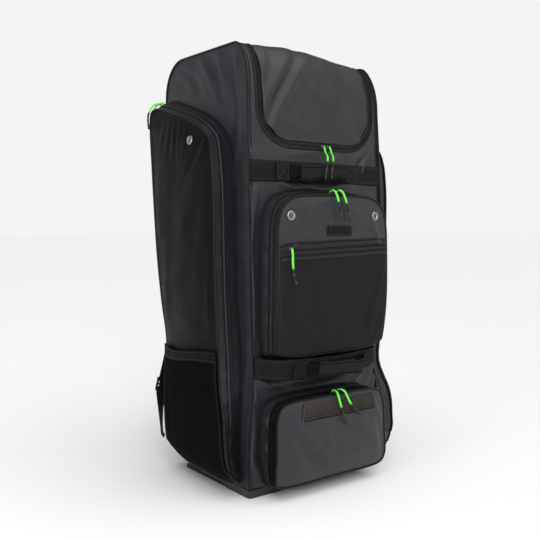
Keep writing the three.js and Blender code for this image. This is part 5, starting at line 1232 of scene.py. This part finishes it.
class KITBAG_OT_side_pockets(KitBagOperator, bpy.types.Operator):
    """Bat compartments on both sides, with zip, piping and net pocket"""

    bl_idname = "kit_bag.side_pockets"
    bl_label = "Side pockets"

    def execute(self, context):
        for side, label in SIDES:
            pocket = side_pocket(side)
            self.face(pocket, label)
            self.gusset(context, pocket, label)
            self.net_pocket(context, pocket, side, label)
        return {"FINISHED"}

    def face(self, pocket, label):
        u, v = np.meshgrid(np.linspace(0, 1, 48), np.linspace(0, 1, 130))
        grid = folded_face(pocket, u, v, SIDE_POCKET_FOLDS, axis=1, height=0.8, across=9, up=20)
        cloth(f"side_pocket_cloth_{label}", [grid], "pocket", f"side_pocket_face_{label}")
        stitches(f"side_pocket_stitches_{label}", edge_lines(grid, low=1, high=1, left=1, right=1))

    def gusset(self, context, pocket, label):
        stations = pocket.all_round(5)
        shares = np.linspace(-0.1, 1, 12)
        run = runs(on_ring(pocket.rim, stations))
        level = on_ring(pocket.rim, stations)[:, 2]
        loose = ramp(level, *LOOSE_FOOT) * 0.7 + 0.3
        ruffle = loose * (np.sin(run / 7.5) + 0.6 * np.sin(run / 4.3 + 1))
        lift = ruffle[None] * np.sin(np.pi * np.clip(shares, 0, 1))[:, None]
        grid, ways = pocket.gusset(stations, shares, lift)
        cloth(f"side_gusset_cloth_{label}", [grid], "coated", f"side_pocket_gusset_{label}", away=pocket.middle)
        span = pocket.stations(*SIDE_ZIP_ENDS, 4)
        low, high = SIDE_ZIP_SPAN
        run = runs(on_ring(pocket.rim, span))
        level = on_ring(pocket.rim, span)[:, 2]
        wave = (ramp(level, *LOOSE_FOOT) * 0.7 + 0.2) * np.sin(run / 7.3)
        tape, ways = pocket.gusset(span, np.linspace(low, high, 6), 2.2 + wave[None])
        cloth(f"side_zip_tape_{label}", [tape], "coated", f"side_pocket_zip_{label}", wall=1.2, away=pocket.middle)
        middle, ways = pocket.gusset(span, [(low + high) / 2], 2.2 + wave[None])
        coil(f"side_zip_coil_{label}", middle[0], ways)
        radius = context.scene.kit_bag_sizes.piping * 1000
        ring = stations[:-1]
        for name, share, size, nodes in (
            ("rim", 1.0, radius, [f"side_pocket_piping_{label}"]), ("seam", 0.02, radius * 0.8, []),
        ):
            line, ways = pocket.gusset(ring, [share], 1.6)
            loft(f"side_{name}_piping_{label}", round_rings(line[0], ways, size, 8), "piping", *nodes, closed=True)
        for name, share in (("low", low - 0.02), ("high", high + 0.02)):
            line, ways = pocket.gusset(span, [share], 1.4)
            loft(f"side_zip_lip_{name}_{label}", round_rings(line[0], ways, 1.0, 6), "piping")
        for name, station in SIDE_SLIDERS.items():
            near = station + np.array([-0.05, 0, 0.05])
            line, ways = pocket.gusset(near, [(low + high) / 2], SLIDER_STAND)
            slider(f"side_slider_{label}_{name}", line[0][1], line[0][2] - line[0][0], ways[1])

    def net_pocket(self, context, pocket, side, label):
        def level(u):
            v = np.full(np.shape(u), 0.45)
            for _ in range(8):
                point = pocket.face(u, v)
                aim = read(HEM, "along", "level", point[..., 1] / DEPTH) * HEIGHT
                v = v + (aim - point[..., 2]) / (pocket.face(u, 1.0)[..., 2] - pocket.face(u, 0.0)[..., 2])
            return v

        def at(across, up, gap=2.6):
            u = 0.04 + 0.92 * np.asarray(across, float)
            bulge = MESH_BULGE * np.sin(np.pi * u) ** 0.7 * np.sin(np.pi * (0.12 + 0.62 * np.asarray(up)))
            sag = 1.2 * np.sin(u * 31) * np.sin(np.pi * np.asarray(up))
            return pocket.face(u, 0.045 + (level(u) - 0.045) * up, gap + bulge + sag)

        hem = HEM_HEIGHT / (HEIGHT * 0.32)
        pitch = context.scene.kit_bag_sizes.mesh_pitch * 1000
        mesh = net(
            f"side_net_{label}", lambda a, b: at(a, b * (1 - hem * 0.6)),
            *NET_SIZE, pitch, 1.5, "yarn", f"mesh_pocket_{label}",
        )
        u, v = np.meshgrid(np.linspace(0, 1, 50), np.linspace(1 - hem, 1, 7))
        grid = at(u, v, 3.4 + 0.8 * np.sin(u * 24) * (v - 1 + hem) / hem)
        cloth(f"side_net_hem_{label}", [grid], "binding", f"mesh_hem_{label}")
        stitches(f"side_net_hem_stitches_{label}", edge_lines(grid, low=1, high=1))
        edge = np.linspace(0, 1, 60)
        around = np.vstack([at(0 * edge, 1 - edge), at(edge, 0 * edge)[1:], at(0 * edge + 1, edge)[1:]])
        path, ways = resample(around, 5, facing(around, (side, 0, 0)))
        across = np.cross(unit(np.gradient(path, axis=0)), ways)
        loft(f"side_net_binding_{label}", flat_rings(path, across * 5, ways * 1.0, 10), "binding")


class KITBAG_OT_lid_zip(KitBagOperator, bpy.types.Operator):
    """Zip round the top flap"""

    bl_idname = "kit_bag.lid_zip"
    bl_label = "Flap zip"

    def execute(self, context):
        half = FLAP_WIDTH / 2
        end = run_on_top(FLAP_HINGE)
        knee = FLAP_BOTTOM + FLAP_CORNER
        down = np.linspace(end, run_at(knee), 90)
        turn = np.linspace(0, math.pi / 2, 30)[1:]
        arc_x = -half + FLAP_CORNER * (1 - np.cos(turn))
        arc_z = knee - FLAP_CORNER * np.sin(turn)
        left = np.vstack([np.stack([np.full(down.shape, -half), down], 1), np.stack([arc_x, run_at(arc_z)], 1)])
        line = np.vstack([left, left[::-1] * (-1, 1)])
        flat = resample(np.hstack([line, np.zeros((len(line), 1))]), 4)[:, :2]
        along = unit(np.gradient(flat, axis=0))
        beside = np.stack([along[:, 1], -along[:, 0]], 1)

        def at(offset, lift):
            place = flat + beside * offset
            return on_band(place[:, 0], place[:, 1], lift)

        edge = ZIP_WIDTH / 2
        rows = [(2.4, -0.4), (edge, -1.2), (edge + 3, -2.4)]
        grid = np.array([at(-offset, lift) for offset, lift in rows[::-1]] + [at(*row) for row in rows])
        cloth("lid_zip_tape", [grid], "tape", "lid_zip", wall=1.0)
        ways = grid_out(np.array([at(-1, 0), at(1, 0)]))[0]
        coil("lid_zip_coil", at(0, -0.5), ways)
        for name, offset in (("inner", edge - 0.2), ("outer", -edge + 0.2)):
            loft(f"lid_zip_lip_{name}", round_rings(at(offset, 0.0), ways, 1.25, 8), "piping")
        for name, x in zip(("left", "right"), SLIDERS["lid"]):
            run = run_at(FLAP_BOTTOM)
            seat, ahead = on_band([x, x + 2], run, 0.2)
            slider(f"lid_slider_{name}", seat, ahead - seat, (0, -1, 0))
        return {"FINISHED"}


def copied(pattern, name, basis, seat):
    """A copy of a pattern with its own mesh, turned to a basis and moved to its seat."""
    mesh = pattern.data.copy()
    mesh.name = name
    points = np.empty(len(mesh.vertices) * 3)
    mesh.vertices.foreach_get("co", points)
    points = points.reshape(-1, 3) @ basis.T + np.asarray(seat) * MM
    mesh.vertices.foreach_set("co", points.ravel())
    mesh.update()
    made = bpy.data.objects.new(name, mesh)
    bpy.context.scene.collection.objects.link(made)
    return made


def slider(name, seat, along, out):
    """Puts a copy of the slider on its zip."""
    out = unit(np.array(out, float))
    along = np.array(along, float)
    along = unit(along - out * np.dot(along, out))
    across = np.cross(out, along)
    return dress(copied(slider_pattern(), name, np.column_stack([along, across, out]), seat), "slider")


def start_from(primitive, **settings):
    """Adds a primitive as the only selected thing."""
    bpy.ops.object.select_all(action="DESELECT")
    primitive(**settings)
    return bpy.context.object


def pick_faces(made, test):
    """Selects a piece's faces by their middle and normal, in edit mode."""
    shape = bmesh.from_edit_mesh(made.data)
    shape.select_mode = {"FACE"}
    for face in shape.faces:
        face.select_set(bool(test(face.calc_center_median(), face.normal)))
    shape.select_flush_mode()
    bmesh.update_edit_mesh(made.data)


PATTERNS = {}


def keep_pattern(kind, made, bevel, angle):
    """Rounds a pattern's edges and keeps it, hidden, for its copies. The angle, in degrees, stays sharp."""
    made.name = f"{kind}_pattern"
    edges = made.modifiers.new("edges", "BEVEL")
    edges.width, edges.segments = bevel * MM, 2
    bpy.ops.object.modifier_apply(modifier=edges.name)
    bpy.ops.object.shade_smooth_by_angle(angle=math.radians(angle))
    made.hide_render = True
    made.hide_viewport = True
    PATTERNS[kind] = made
    return made


def slider_pattern():
    """A die-cast zip slider: a waisted plate with a bridge over it for the pull."""
    if "slider" in PATTERNS:
        return PATTERNS["slider"]
    made = start_from(bpy.ops.mesh.primitive_cube_add, size=1)
    bpy.ops.object.mode_set(mode="EDIT")
    bpy.ops.mesh.select_all(action="SELECT")
    bpy.ops.transform.resize(value=[side * MM for side in SLIDER_SIZE])
    bpy.ops.mesh.subdivide(number_cuts=2)
    pick_faces(made, lambda middle, normal: normal.z > 0.9 and abs(middle.x) < 3 * MM and abs(middle.y) < 2 * MM)
    bpy.ops.mesh.extrude_region_move(TRANSFORM_OT_translate={"value": (0, 0, 1.6 * MM)})
    bpy.ops.transform.resize(value=(1.5, 0.8, 1))
    pick_faces(made, lambda middle, normal: abs(normal.y) > 0.9 and abs(middle.x) < 2 * MM and middle.z < 1.2 * MM)
    bpy.ops.transform.resize(value=(1, 0.8, 1))
    bpy.ops.object.mode_set(mode="OBJECT")
    return keep_pattern("slider", made, 0.5, 40)


def eyelet_pattern():
    """A nickel eyelet: a rolled flange with a dished middle."""
    if "eyelet" in PATTERNS:
        return PATTERNS["eyelet"]
    made = start_from(bpy.ops.mesh.primitive_cylinder_add, vertices=40, radius=10 * MM, depth=1.6 * MM)
    bpy.ops.object.mode_set(mode="EDIT")
    pick_faces(made, lambda middle, normal: normal.z > 0.9)
    for thickness, drop in ((1.6, 1.1), (1.8, 0.2), (1.0, -1.6), (0.8, -0.6)):
        bpy.ops.mesh.inset(thickness=thickness * MM, depth=drop * MM)
    bpy.ops.object.mode_set(mode="OBJECT")
    return keep_pattern("eyelet", made, 0.35, 50)


def eyelet(name, pocket, axis, across, level):
    """Sets an eyelet into a pocket's face."""
    u, v = pocket.locate(axis, across, level)
    around = pocket.face(*np.meshgrid([u - 0.02, u, u + 0.02], [v - 0.01, v, v + 0.01]))
    out = grid_out(around)[1, 1]
    first = unit(np.cross(out, (0, 0, 1)))
    middle = around[1, 1] + out * 1.0
    basis = np.column_stack([first, np.cross(out, first), out])
    made = copied(eyelet_pattern(), name + "_ring", basis, middle)
    gauze = np.array([middle - out * 0.9, middle + out * 0.5])
    loft(name + "_gauze", round_rings(gauze, first, 4.9, 20), "vent")
    return dress(made, "nickel", name)


class KITBAG_OT_front_pocket(KitBagOperator, bpy.types.Operator):
    """Upper front pocket with its slip pocket and label"""

    bl_idname = "kit_bag.front_pocket"
    bl_label = "Front pocket"

    def execute(self, context):
        pocket = front_pocket(FRONT_POCKET, FRONT_POCKET_SIZE)
        u, v = np.meshgrid(np.linspace(0, 1, 70), np.linspace(0, 1, 76))
        face = folded_face(pocket, u, v, FRONT_POCKET_FOLDS)
        cloth("front_pocket_cloth", [face], "coated", "front_pocket_face")
        stitches("front_pocket_stitches", edge_lines(face, low=1, high=1, left=1, right=1))
        pocket_sides(context, "front", pocket, SLIDERS["front"], "tape")
        self.slip(pocket)
        self.label(pocket)
        for name, (x, z) in EYELETS.items():
            eyelet(name, pocket, 0, x, z)
        for side, label in SIDES:
            eyelet(f"side_eyelet_{label}", side_pocket(side), 1, *SIDE_EYELET)
        return {"FINISHED"}

    def slip(self, pocket):
        def face(u, v, lift=0.0):
            return pocket.face(u, v + SLIP_TILT * np.asarray(u) * np.asarray(v) / SLIP_TOP, lift)

        u, v = np.meshgrid(np.linspace(0.03, 0.97, 84), np.linspace(0.025, SLIP_TOP, 60))
        flat = face(u, v)
        rest = (SLIP_TOP - v) / SLIP_TOP
        soft = np.clip(14 * (u - 0.02) * (0.98 - u), 0, 1) * np.clip(8 * rest, 0, 1)
        across, up = flat[..., 0], flat[..., 2]
        lift = 3.0 + soft * (folded(SLIP_FOLDS, across, up, CREASE) + rumple(across, up))
        grid = face(u, v, lift)
        panel = cloth("slip_panel_cloth", [grid], "matt", "slip_pocket_panel", wall=1.6)
        flat_size(grid)
        stitches("slip_panel_stitches", edge_lines(grid, high=1, left=1, right=1))
        top = SLIP_TOP + SLIP_ZIP_SHARE
        u, v = np.meshgrid(np.linspace(0.03, 0.97, 84), np.linspace(SLIP_TOP, top, 5))
        tape = face(u, v, 2.2)
        cloth("slip_zip_tape", [tape], "tape", "slip_zip", wall=1.2)
        line = face(np.linspace(0.04, 0.96, 90), SLIP_TOP + 0.4 * SLIP_ZIP_SHARE, 2.4)
        coil("slip_zip_coil", line, facing(line, FORWARD))
        for name, share, height, finish in (("low", SLIP_TOP - 0.012, 3.2, "tape"), ("high", top, 1.2, "piping")):
            lip = face(np.linspace(0.03, 0.97, 90), share, 3.6)
            up, out = facing(lip, (0, 0, height)), facing(lip, (0, -1.1, 0))
            loft(f"slip_zip_lip_{name}", flat_rings(lip, up, out, 12), finish)
        x, z = SLIDERS["slip"]
        u, v = pocket.locate(0, x, z)
        seat, ahead = pocket.face([u, u + 0.01], v, 4.0)
        slider("slip_slider", seat, ahead - seat, (0, -1, 0))

    def label(self, pocket):
        low_u, low_v = pocket.locate(0, LABEL["left"], LABEL["bottom"])
        high_u, high_v = pocket.locate(0, LABEL["right"], LABEL["top"])
        u, v = np.meshgrid(np.linspace(low_u, high_u, 24), np.linspace(low_v, high_v, 10))
        grid = pocket.face(u, v, 2.6)
        cloth("label_cloth", [grid], "label", "label_patch", wall=1.4)
        stitches("label_stitches", edge_lines(grid, low=1, high=1, left=1, right=1))


def pocket_sides(context, name, pocket, sliders, band):
    """The gusset of a front pocket: a cloth strip at the bag, the zip band at the face, piping on both edges."""
    stations = pocket.all_round(4)
    run = runs(on_ring(pocket.rim, stations))
    seam = on_ring(pocket.seam, stations)
    corner = np.clip(1.6 - np.abs(seam[:, 2] - seam[:, 2].mean()) / (np.ptp(seam[:, 2]) / 2), 0, 1)
    ruffle = (1.0 if name == "bottom" else 0.45) * (0.7 + 1.3 * corner)
    ruffle = ruffle * (np.sin(run / 8.7) + 0.5 * np.sin(run / 5.1 + 2))
    shares = np.linspace(-0.1, POCKET_ZIP_SHARE, 7)
    grid, ways = pocket.gusset(stations, shares, ruffle[None] * np.sin(np.pi * np.clip(shares * 2, 0, 1))[:, None])
    cloth(f"{name}_gusset_cloth", [grid], "coated", f"{name}_pocket_gusset", away=pocket.middle)
    shares = np.linspace(POCKET_ZIP_SHARE, 1, 8)
    dip = -1.2 * np.sin(np.pi * (shares - POCKET_ZIP_SHARE) / (1 - POCKET_ZIP_SHARE))[:, None] + 0 * run[None]
    tape, ways = pocket.gusset(stations, shares, dip)
    cloth(f"{name}_zip_tape", [tape], band, f"{name}_pocket_zip", away=pocket.middle)
    middle = (1 + POCKET_ZIP_SHARE) / 2
    line, ways = pocket.gusset(stations, [middle], -1.0)
    coil(f"{name}_zip_coil", line[0], ways)
    radius = context.scene.kit_bag_sizes.piping * 1000
    nodes = ["front_pocket_piping"] if name == "front" else []
    thin = radius * 0.75
    for place, share, size, nodes in (
        ("rim", 1.0, radius, nodes), ("zip", POCKET_ZIP_SHARE, thin, []), ("seam", 0.03, thin, []),
    ):
        line, ways = pocket.gusset(stations[:-1], [share], 1.2)
        loft(f"{name}_{place}_piping", round_rings(line[0], ways, size, 8), "piping", *nodes, closed=True)
    line, ways = pocket.gusset(np.array([pocket.count / 2]), [middle], 0.8)
    for label, x in zip(("left", "right"), sliders):
        seat = np.array([x, *line[0][0][1:]])
        slider(f"{name}_slider_{label}", seat, (1, 0, 0), ways[0])


class KITBAG_OT_bottom_pocket(KitBagOperator, bpy.types.Operator):
    """Low front pocket with a net vent in its face"""

    bl_idname = "kit_bag.bottom_pocket"
    bl_label = "Bottom pocket"

    def execute(self, context):
        pocket = front_pocket(BOTTOM_POCKET, BOTTOM_POCKET_SIZE)
        left, low = pocket.locate(0, VENT["left"], VENT["bottom"])
        right, high = pocket.locate(0, VENT["right"], VENT["top"])
        us = [np.linspace(0, left, 14), np.linspace(left, right, 44), np.linspace(right, 1, 14)]
        vs = [np.linspace(0, low, 34), np.linspace(low, high, 10), np.linspace(high, 1, 6)]
        places = [np.meshgrid(us[i], vs[j]) for i in range(3) for j in range(3) if (i, j) != (1, 1)]
        grids = [folded_face(pocket, u, v, BOTTOM_POCKET_FOLDS) for u, v in places]
        cloth("bottom_pocket_cloth", grids, "coated", "bottom_pocket_face")
        pocket_sides(context, "bottom", pocket, SLIDERS["bottom"], "binding")
        edge = np.linspace(0, 1, 30)
        sides = [
            pocket.face(left + (right - left) * edge, low, 0.6), pocket.face(right, low + (high - low) * edge, 0.6),
            pocket.face(right + (left - right) * edge, high, 0.6), pocket.face(left, high + (low - high) * edge, 0.6),
        ]
        around = resample(np.vstack([side[:-1] for side in sides] + [sides[0][:1]]), 3)[:-1]
        ways = facing(around, FORWARD)
        across = np.cross(unit(np.roll(around, -1, 0) - np.roll(around, 1, 0)), ways)
        loft("vent_binding", flat_rings(around, across * 2.6, ways * 0.8, 10), "coated", closed=True)
        stitches("vent_stitches", [(around + ways * 0.8, ways)])
        pitch = context.scene.kit_bag_sizes.vent_pitch * 1000
        net(
            "vent_net", lambda a, b: pocket.face(left + (right - left) * a, low + (high - low) * b, -1.2),
            VENT["right"] - VENT["left"], (VENT["top"] - VENT["bottom"]) * 1.1, pitch, 1.2, "vent", "vent_mesh",
        )
        return {"FINISHED"}


def upper_band(across, share):
    """A point of the upper band: across is a share of half of WIDTH, share runs from its low edge to its high one."""
    across, share = np.broadcast_arrays(np.asarray(across, float), share)
    z = UPPER_BAND_LEVEL + (share - 0.5) * BAND_HEIGHT
    x = across * (half_width(z, np.sign(across)) - WALL)
    return np.stack([x, front_surface(x, z) - 1.1 - WEBBING_THICKNESS, z], -1)


def lower_band(across, share):
    across, share = np.broadcast_arrays(np.asarray(across, float), share)
    sag = read(LOWER_BAND, "across", "sag", across) * BAND_HEIGHT

    def edge(name, i):
        z = LOWER_BAND_LEVEL - sag * (1 - i / 2) + (i - 0.5) * BAND_HEIGHT
        x = across * (half_width(z, np.sign(across)) - WALL)
        off = read(LOWER_BAND, "across", name, across) * FRONT_POCKET_SIZE["depth"]
        return np.stack([x, front_surface(x, z) - 0.7 - WEBBING_THICKNESS - off, z], -1)

    return edge("bottom", 0) * (1 - share[..., None]) + edge("top", 1) * share[..., None]


class KITBAG_OT_bands(KitBagOperator, bpy.types.Operator):
    """Webbing bands round the front with their grab handles"""

    bl_idname = "kit_bag.bands"
    bl_label = "Bands and handles"

    def execute(self, context):
        bands = (("upper", upper_band, UPPER_HANDLE_ACROSS), ("lower", lower_band, LOWER_HANDLE_ACROSS))
        for name, band, middle in bands:
            u, v = np.meshgrid(np.linspace(-1, 1, 130), np.linspace(0, 1, 10))
            grid = band(u, v)
            wave = 0.9 * np.sin(u * 23 + v * 2.2) * np.sin(np.pi * np.clip((1 - np.abs(u)) * 3, 0, 0.5))
            grid = grid + grid_out(grid) * (wave + rumple(u * 190, v * 44, 0.4))[..., None]
            cloth(f"{name}_band_webbing", [grid], "webbing", f"{name}_band", wall=WEBBING_THICKNESS)
            stitches(f"{name}_band_stitches", edge_lines(grid, low=1, high=1))
            self.handle(name, band, middle)
        return {"FINISHED"}

    def handle(self, name, band, middle):
        """A strap stitched down at both ends, gathered into an open-ended sleeve that the hand holds."""
        out = np.array(FORWARD)
        tilt = -5 if name == "lower" else 2

        def sections(across, height, thickness, shift):
            x = middle + across * GRIP_LENGTH
            low, high = band(x / (WIDTH / 2), 0.0), band(x / (WIDTH / 2), 1.0)
            up = unit((high - low) * (0, 1, 1))
            stand = np.maximum(read(HANDLE, "across", "off", across), HANDLE["off"][0]) * GRIP_THICKNESS
            place = (low + high) / 2 * (0, 1, 1) + np.stack([x, 0 * x, 0 * x], 1)
            place += out * (stand + WEBBING_THICKNESS)[:, None] + up * shift[:, None]
            return flat_rings(place, up * (height / 2)[:, None], out * (thickness / 2)[:, None], 28, 0.4)

        patch, loose = HANDLE["across"][-1], HANDLE["across"][-2]
        # The strap takes the darker binding finish rather than webbing: painted shade in the gaps round the handle's
        # lifted ends
        parts = (
            ("strap", -loose, loose, "binding", [f"{name}_handle"]),
            ("patch_left", -patch, -loose, "webbing", []), ("patch_right", loose, patch, "webbing", []),
        )
        for part, start, end, finish, nodes in parts:
            across = np.linspace(start, end, 60 if nodes else 14)
            gather = np.clip((0.67 - np.abs(across)) / 0.12, 0, 1)
            height = (BAND_HEIGHT - 4) * (1 - gather) + 17 * gather
            lean = tilt * np.clip(across / 0.5, -1, 1) * gather
            loft(f"{name}_handle_{part}", sections(across, height, 1.9 + 2.4 * gather, lean), finish, *nodes)
        across = np.linspace(-SLEEVE_END, SLEEVE_END, 60)
        flare = 1 + 0.1 * (np.abs(across) / SLEEVE_END) ** 6
        height = GRIP_HEIGHT * (flare + 0.06 * np.sin(across * 13) + 0.05 * np.sin(across * 31 + 1))
        thickness = GRIP_THICKNESS * (1.1 + 0.14 * np.sin(across * 12 + 1) + 0.1 * np.sin(across * 37))
        lean = tilt * np.clip(across / 0.5, -1, 1) + 1.6 * np.sin(across * 7 + 1)
        outer = sections(across, height, thickness, lean)
        inner = sections(across, height - 4, thickness - 4, lean)[::-1]
        loft(f"{name}_handle_sleeve", np.vstack([outer, inner]), "matt", closed=True)
        for place, share in (("high", 5), ("low", 9)):
            line = outer[:, share]
            loft(f"{name}_handle_seam_{place}", round_rings(line, out, 1.0, 8), "binding")
        lines = []
        for start, end in ((-0.92, -0.69), (0.69, 0.92)):
            low, high = 0.15, 0.85
            outline = [(start, low), (end, low), (end, high), (start, high), (start, low)]
            box = np.array(outline + [(end, high), (end, low), (start, high)])
            points = np.vstack([np.linspace(a, b, 12)[:-1] for a, b in zip(box[:-1], box[1:])])
            line = band((middle + points[:, 0] * GRIP_LENGTH) / (WIDTH / 2), points[:, 1])
            line = line + out * (WEBBING_THICKNESS * 1.2 + 0.9)
            lines.append((line, facing(line, out)))
        stitches(f"{name}_handle_stitches", lines)


class KITBAG_OT_straps(KitBagOperator, bpy.types.Operator):
    """Padded shoulder straps with their webbing, locks and tabs"""

    bl_idname = "kit_bag.straps"
    bl_label = "Shoulder straps"

    def execute(self, context):
        for side, label in SIDES:
            level = np.linspace(0.905, 0.48, 70)
            across, off, width = (read(SHOULDER_STRAP, "level", name, level) for name in ("across", "off", "width"))
            z = level * HEIGHT
            middle = np.stack([side * across * WIDTH / 2, back_line(z) + 1.1 + (off + 0.5) * STRAP_THICKNESS, z], 1)
            along = unit(np.gradient(middle * (1, 0, 1), axis=0))
            back = np.array(BACKWARD)
            wide = unit(np.cross(along, back)) * (width * STRAP_WIDTH / 2)[:, None]
            channel = 1 - 0.16 * np.exp(-((((level * 100) % 9) - 4.5) / 0.8) ** 2)
            rings = flat_rings(middle, wide, back * (STRAP_THICKNESS / 2 * channel)[:, None], 36, 0.45)
            pad = loft(f"shoulder_strap_pad_{label}", rings, "side", f"shoulder_strap_{label}")
            for name, sign in (("inner", -1), ("outer", 1)):
                edge = middle + wide * 0.985 * sign
                loft(f"shoulder_strap_binding_{name}_{label}", round_rings(edge, back, 2.6, 8), "binding")
            ways = facing(middle, back)
            lines = [(middle + wide * share + back * STRAP_THICKNESS * 0.47, ways) for share in (-0.7, 0.7)]
            stitches(f"shoulder_strap_stitches_{label}", lines)
            self.webbing(side, label, middle[-1], wide[-1])
        return {"FINISHED"}

    def webbing(self, side, label, pad_end, pad_across):
        turn = math.radians(side * LOCK_TURN)
        centre = np.array([side * LOCK_ACROSS, back_line(LOCK_LEVEL) + LOCK_OFF, LOCK_LEVEL])
        down = np.array([math.sin(turn), 0, -math.cos(turn)])
        across = np.array([math.cos(turn), 0, math.sin(turn)])
        half = LOCK_THICKNESS / 2 + 0.4 + WEBBING_THICKNESS / 2
        pad_across = unit(pad_across)
        pad_down = np.cross((0, 1, 0), pad_across)
        pad_down = pad_down * -np.sign(pad_down[2])
        route = [pad_end - pad_down * 6]
        route += [centre + down * place * LOCK_LENGTH + (0, out * half, 0) for place, out in THREADING]
        top = route[-1]
        route += [top + (-side * 6 * s * s, 4 * s, -s * TAIL_LENGTH) for s in (0.35, 0.7, 1)]
        route = np.array(route)
        wide = facing(route, across)
        wide[0] = pad_across * np.sign(np.dot(pad_across, across))
        edge_on = np.array((0.61, 0.79, 0.0))
        for i, twist in ((-3, 0.6), (-2, 0.9), (-1, 1.0)):
            wide[i] = unit(across * (1 - twist) + edge_on * twist)
        fine = np.linspace(0, len(route) - 1, 90)
        path = np.stack([np.interp(fine, np.arange(len(route)), route[:, k]) for k in range(3)], 1)
        wide = unit(np.stack([np.interp(fine, np.arange(len(route)), wide[:, k]) for k in range(3)], 1))
        out = unit(np.cross(wide, np.gradient(path, axis=0)))
        rings = flat_rings(path, wide * WEBBING_WIDTH / 2, out * WEBBING_THICKNESS / 2, 12, 0.3)
        loft(f"strap_webbing_tape_{label}", rings, "webbing", f"strap_webbing_{label}")
        root = np.array([side * TAB_ACROSS, back_line(TAB_LEVEL) + 1.1 + WEBBING_THICKNESS, TAB_LEVEL])
        foot = centre + down * (LOCK_LENGTH / 2 + 1.2)
        share = np.linspace(0, 1, 20)[:, None]
        direction = unit(across * share + np.array((0, 0, -side)) * (1 - share))
        width = (TAB_ROOT_WIDTH * (1 - share) + WEBBING_WIDTH * share) / 2
        middles = root + (foot - root) * share
        thick = np.tile((0.0, WEBBING_THICKNESS / 2, 0.0), (len(share), 1))
        rings = flat_rings(middles, direction * width, thick, 12, 0.3)
        loft(f"strap_tab_webbing_{label}", rings, "webbing", f"strap_tab_{label}")
        mould(f"ladder_lock_{label}")


OPERATORS = (
    KITBAG_OT_stage, KITBAG_OT_cords, KITBAG_OT_body, KITBAG_OT_base, KITBAG_OT_side_pockets, KITBAG_OT_lid_zip,
    KITBAG_OT_front_pocket, KITBAG_OT_bottom_pocket, KITBAG_OT_bands, KITBAG_OT_straps,
)


class KITBAG_PT_panel(bpy.types.Panel):
    """Lists the bag's settings and pieces"""

    bl_label = "Kit bag"
    bl_idname = "KITBAG_PT_panel"
    bl_space_type = "VIEW_3D"
    bl_region_type = "UI"
    bl_category = "Kit bag"

    def draw(self, context):
        for group in (context.scene.kit_bag_sizes, context.scene.kit_bag_colours):
            for name in group.__annotations__:
                self.layout.prop(group, name)
        for operator in OPERATORS:
            self.layout.operator(operator.bl_idname)


CLASSES = (KitBagSizes, KitBagColours, *OPERATORS, KITBAG_PT_panel)


def register():
    for made in CLASSES:
        bpy.utils.register_class(made)
    bpy.types.Scene.kit_bag_sizes = bpy.props.PointerProperty(type=KitBagSizes)
    bpy.types.Scene.kit_bag_colours = bpy.props.PointerProperty(type=KitBagColours)


def unregister():
    del bpy.types.Scene.kit_bag_sizes
    del bpy.types.Scene.kit_bag_colours
    for made in reversed(CLASSES):
        bpy.utils.unregister_class(made)


def main():
    register()
    for operator in OPERATORS:
        getattr(bpy.ops.kit_bag, operator.bl_idname.split(".")[1])()


if __name__ == "__main__":
    main()
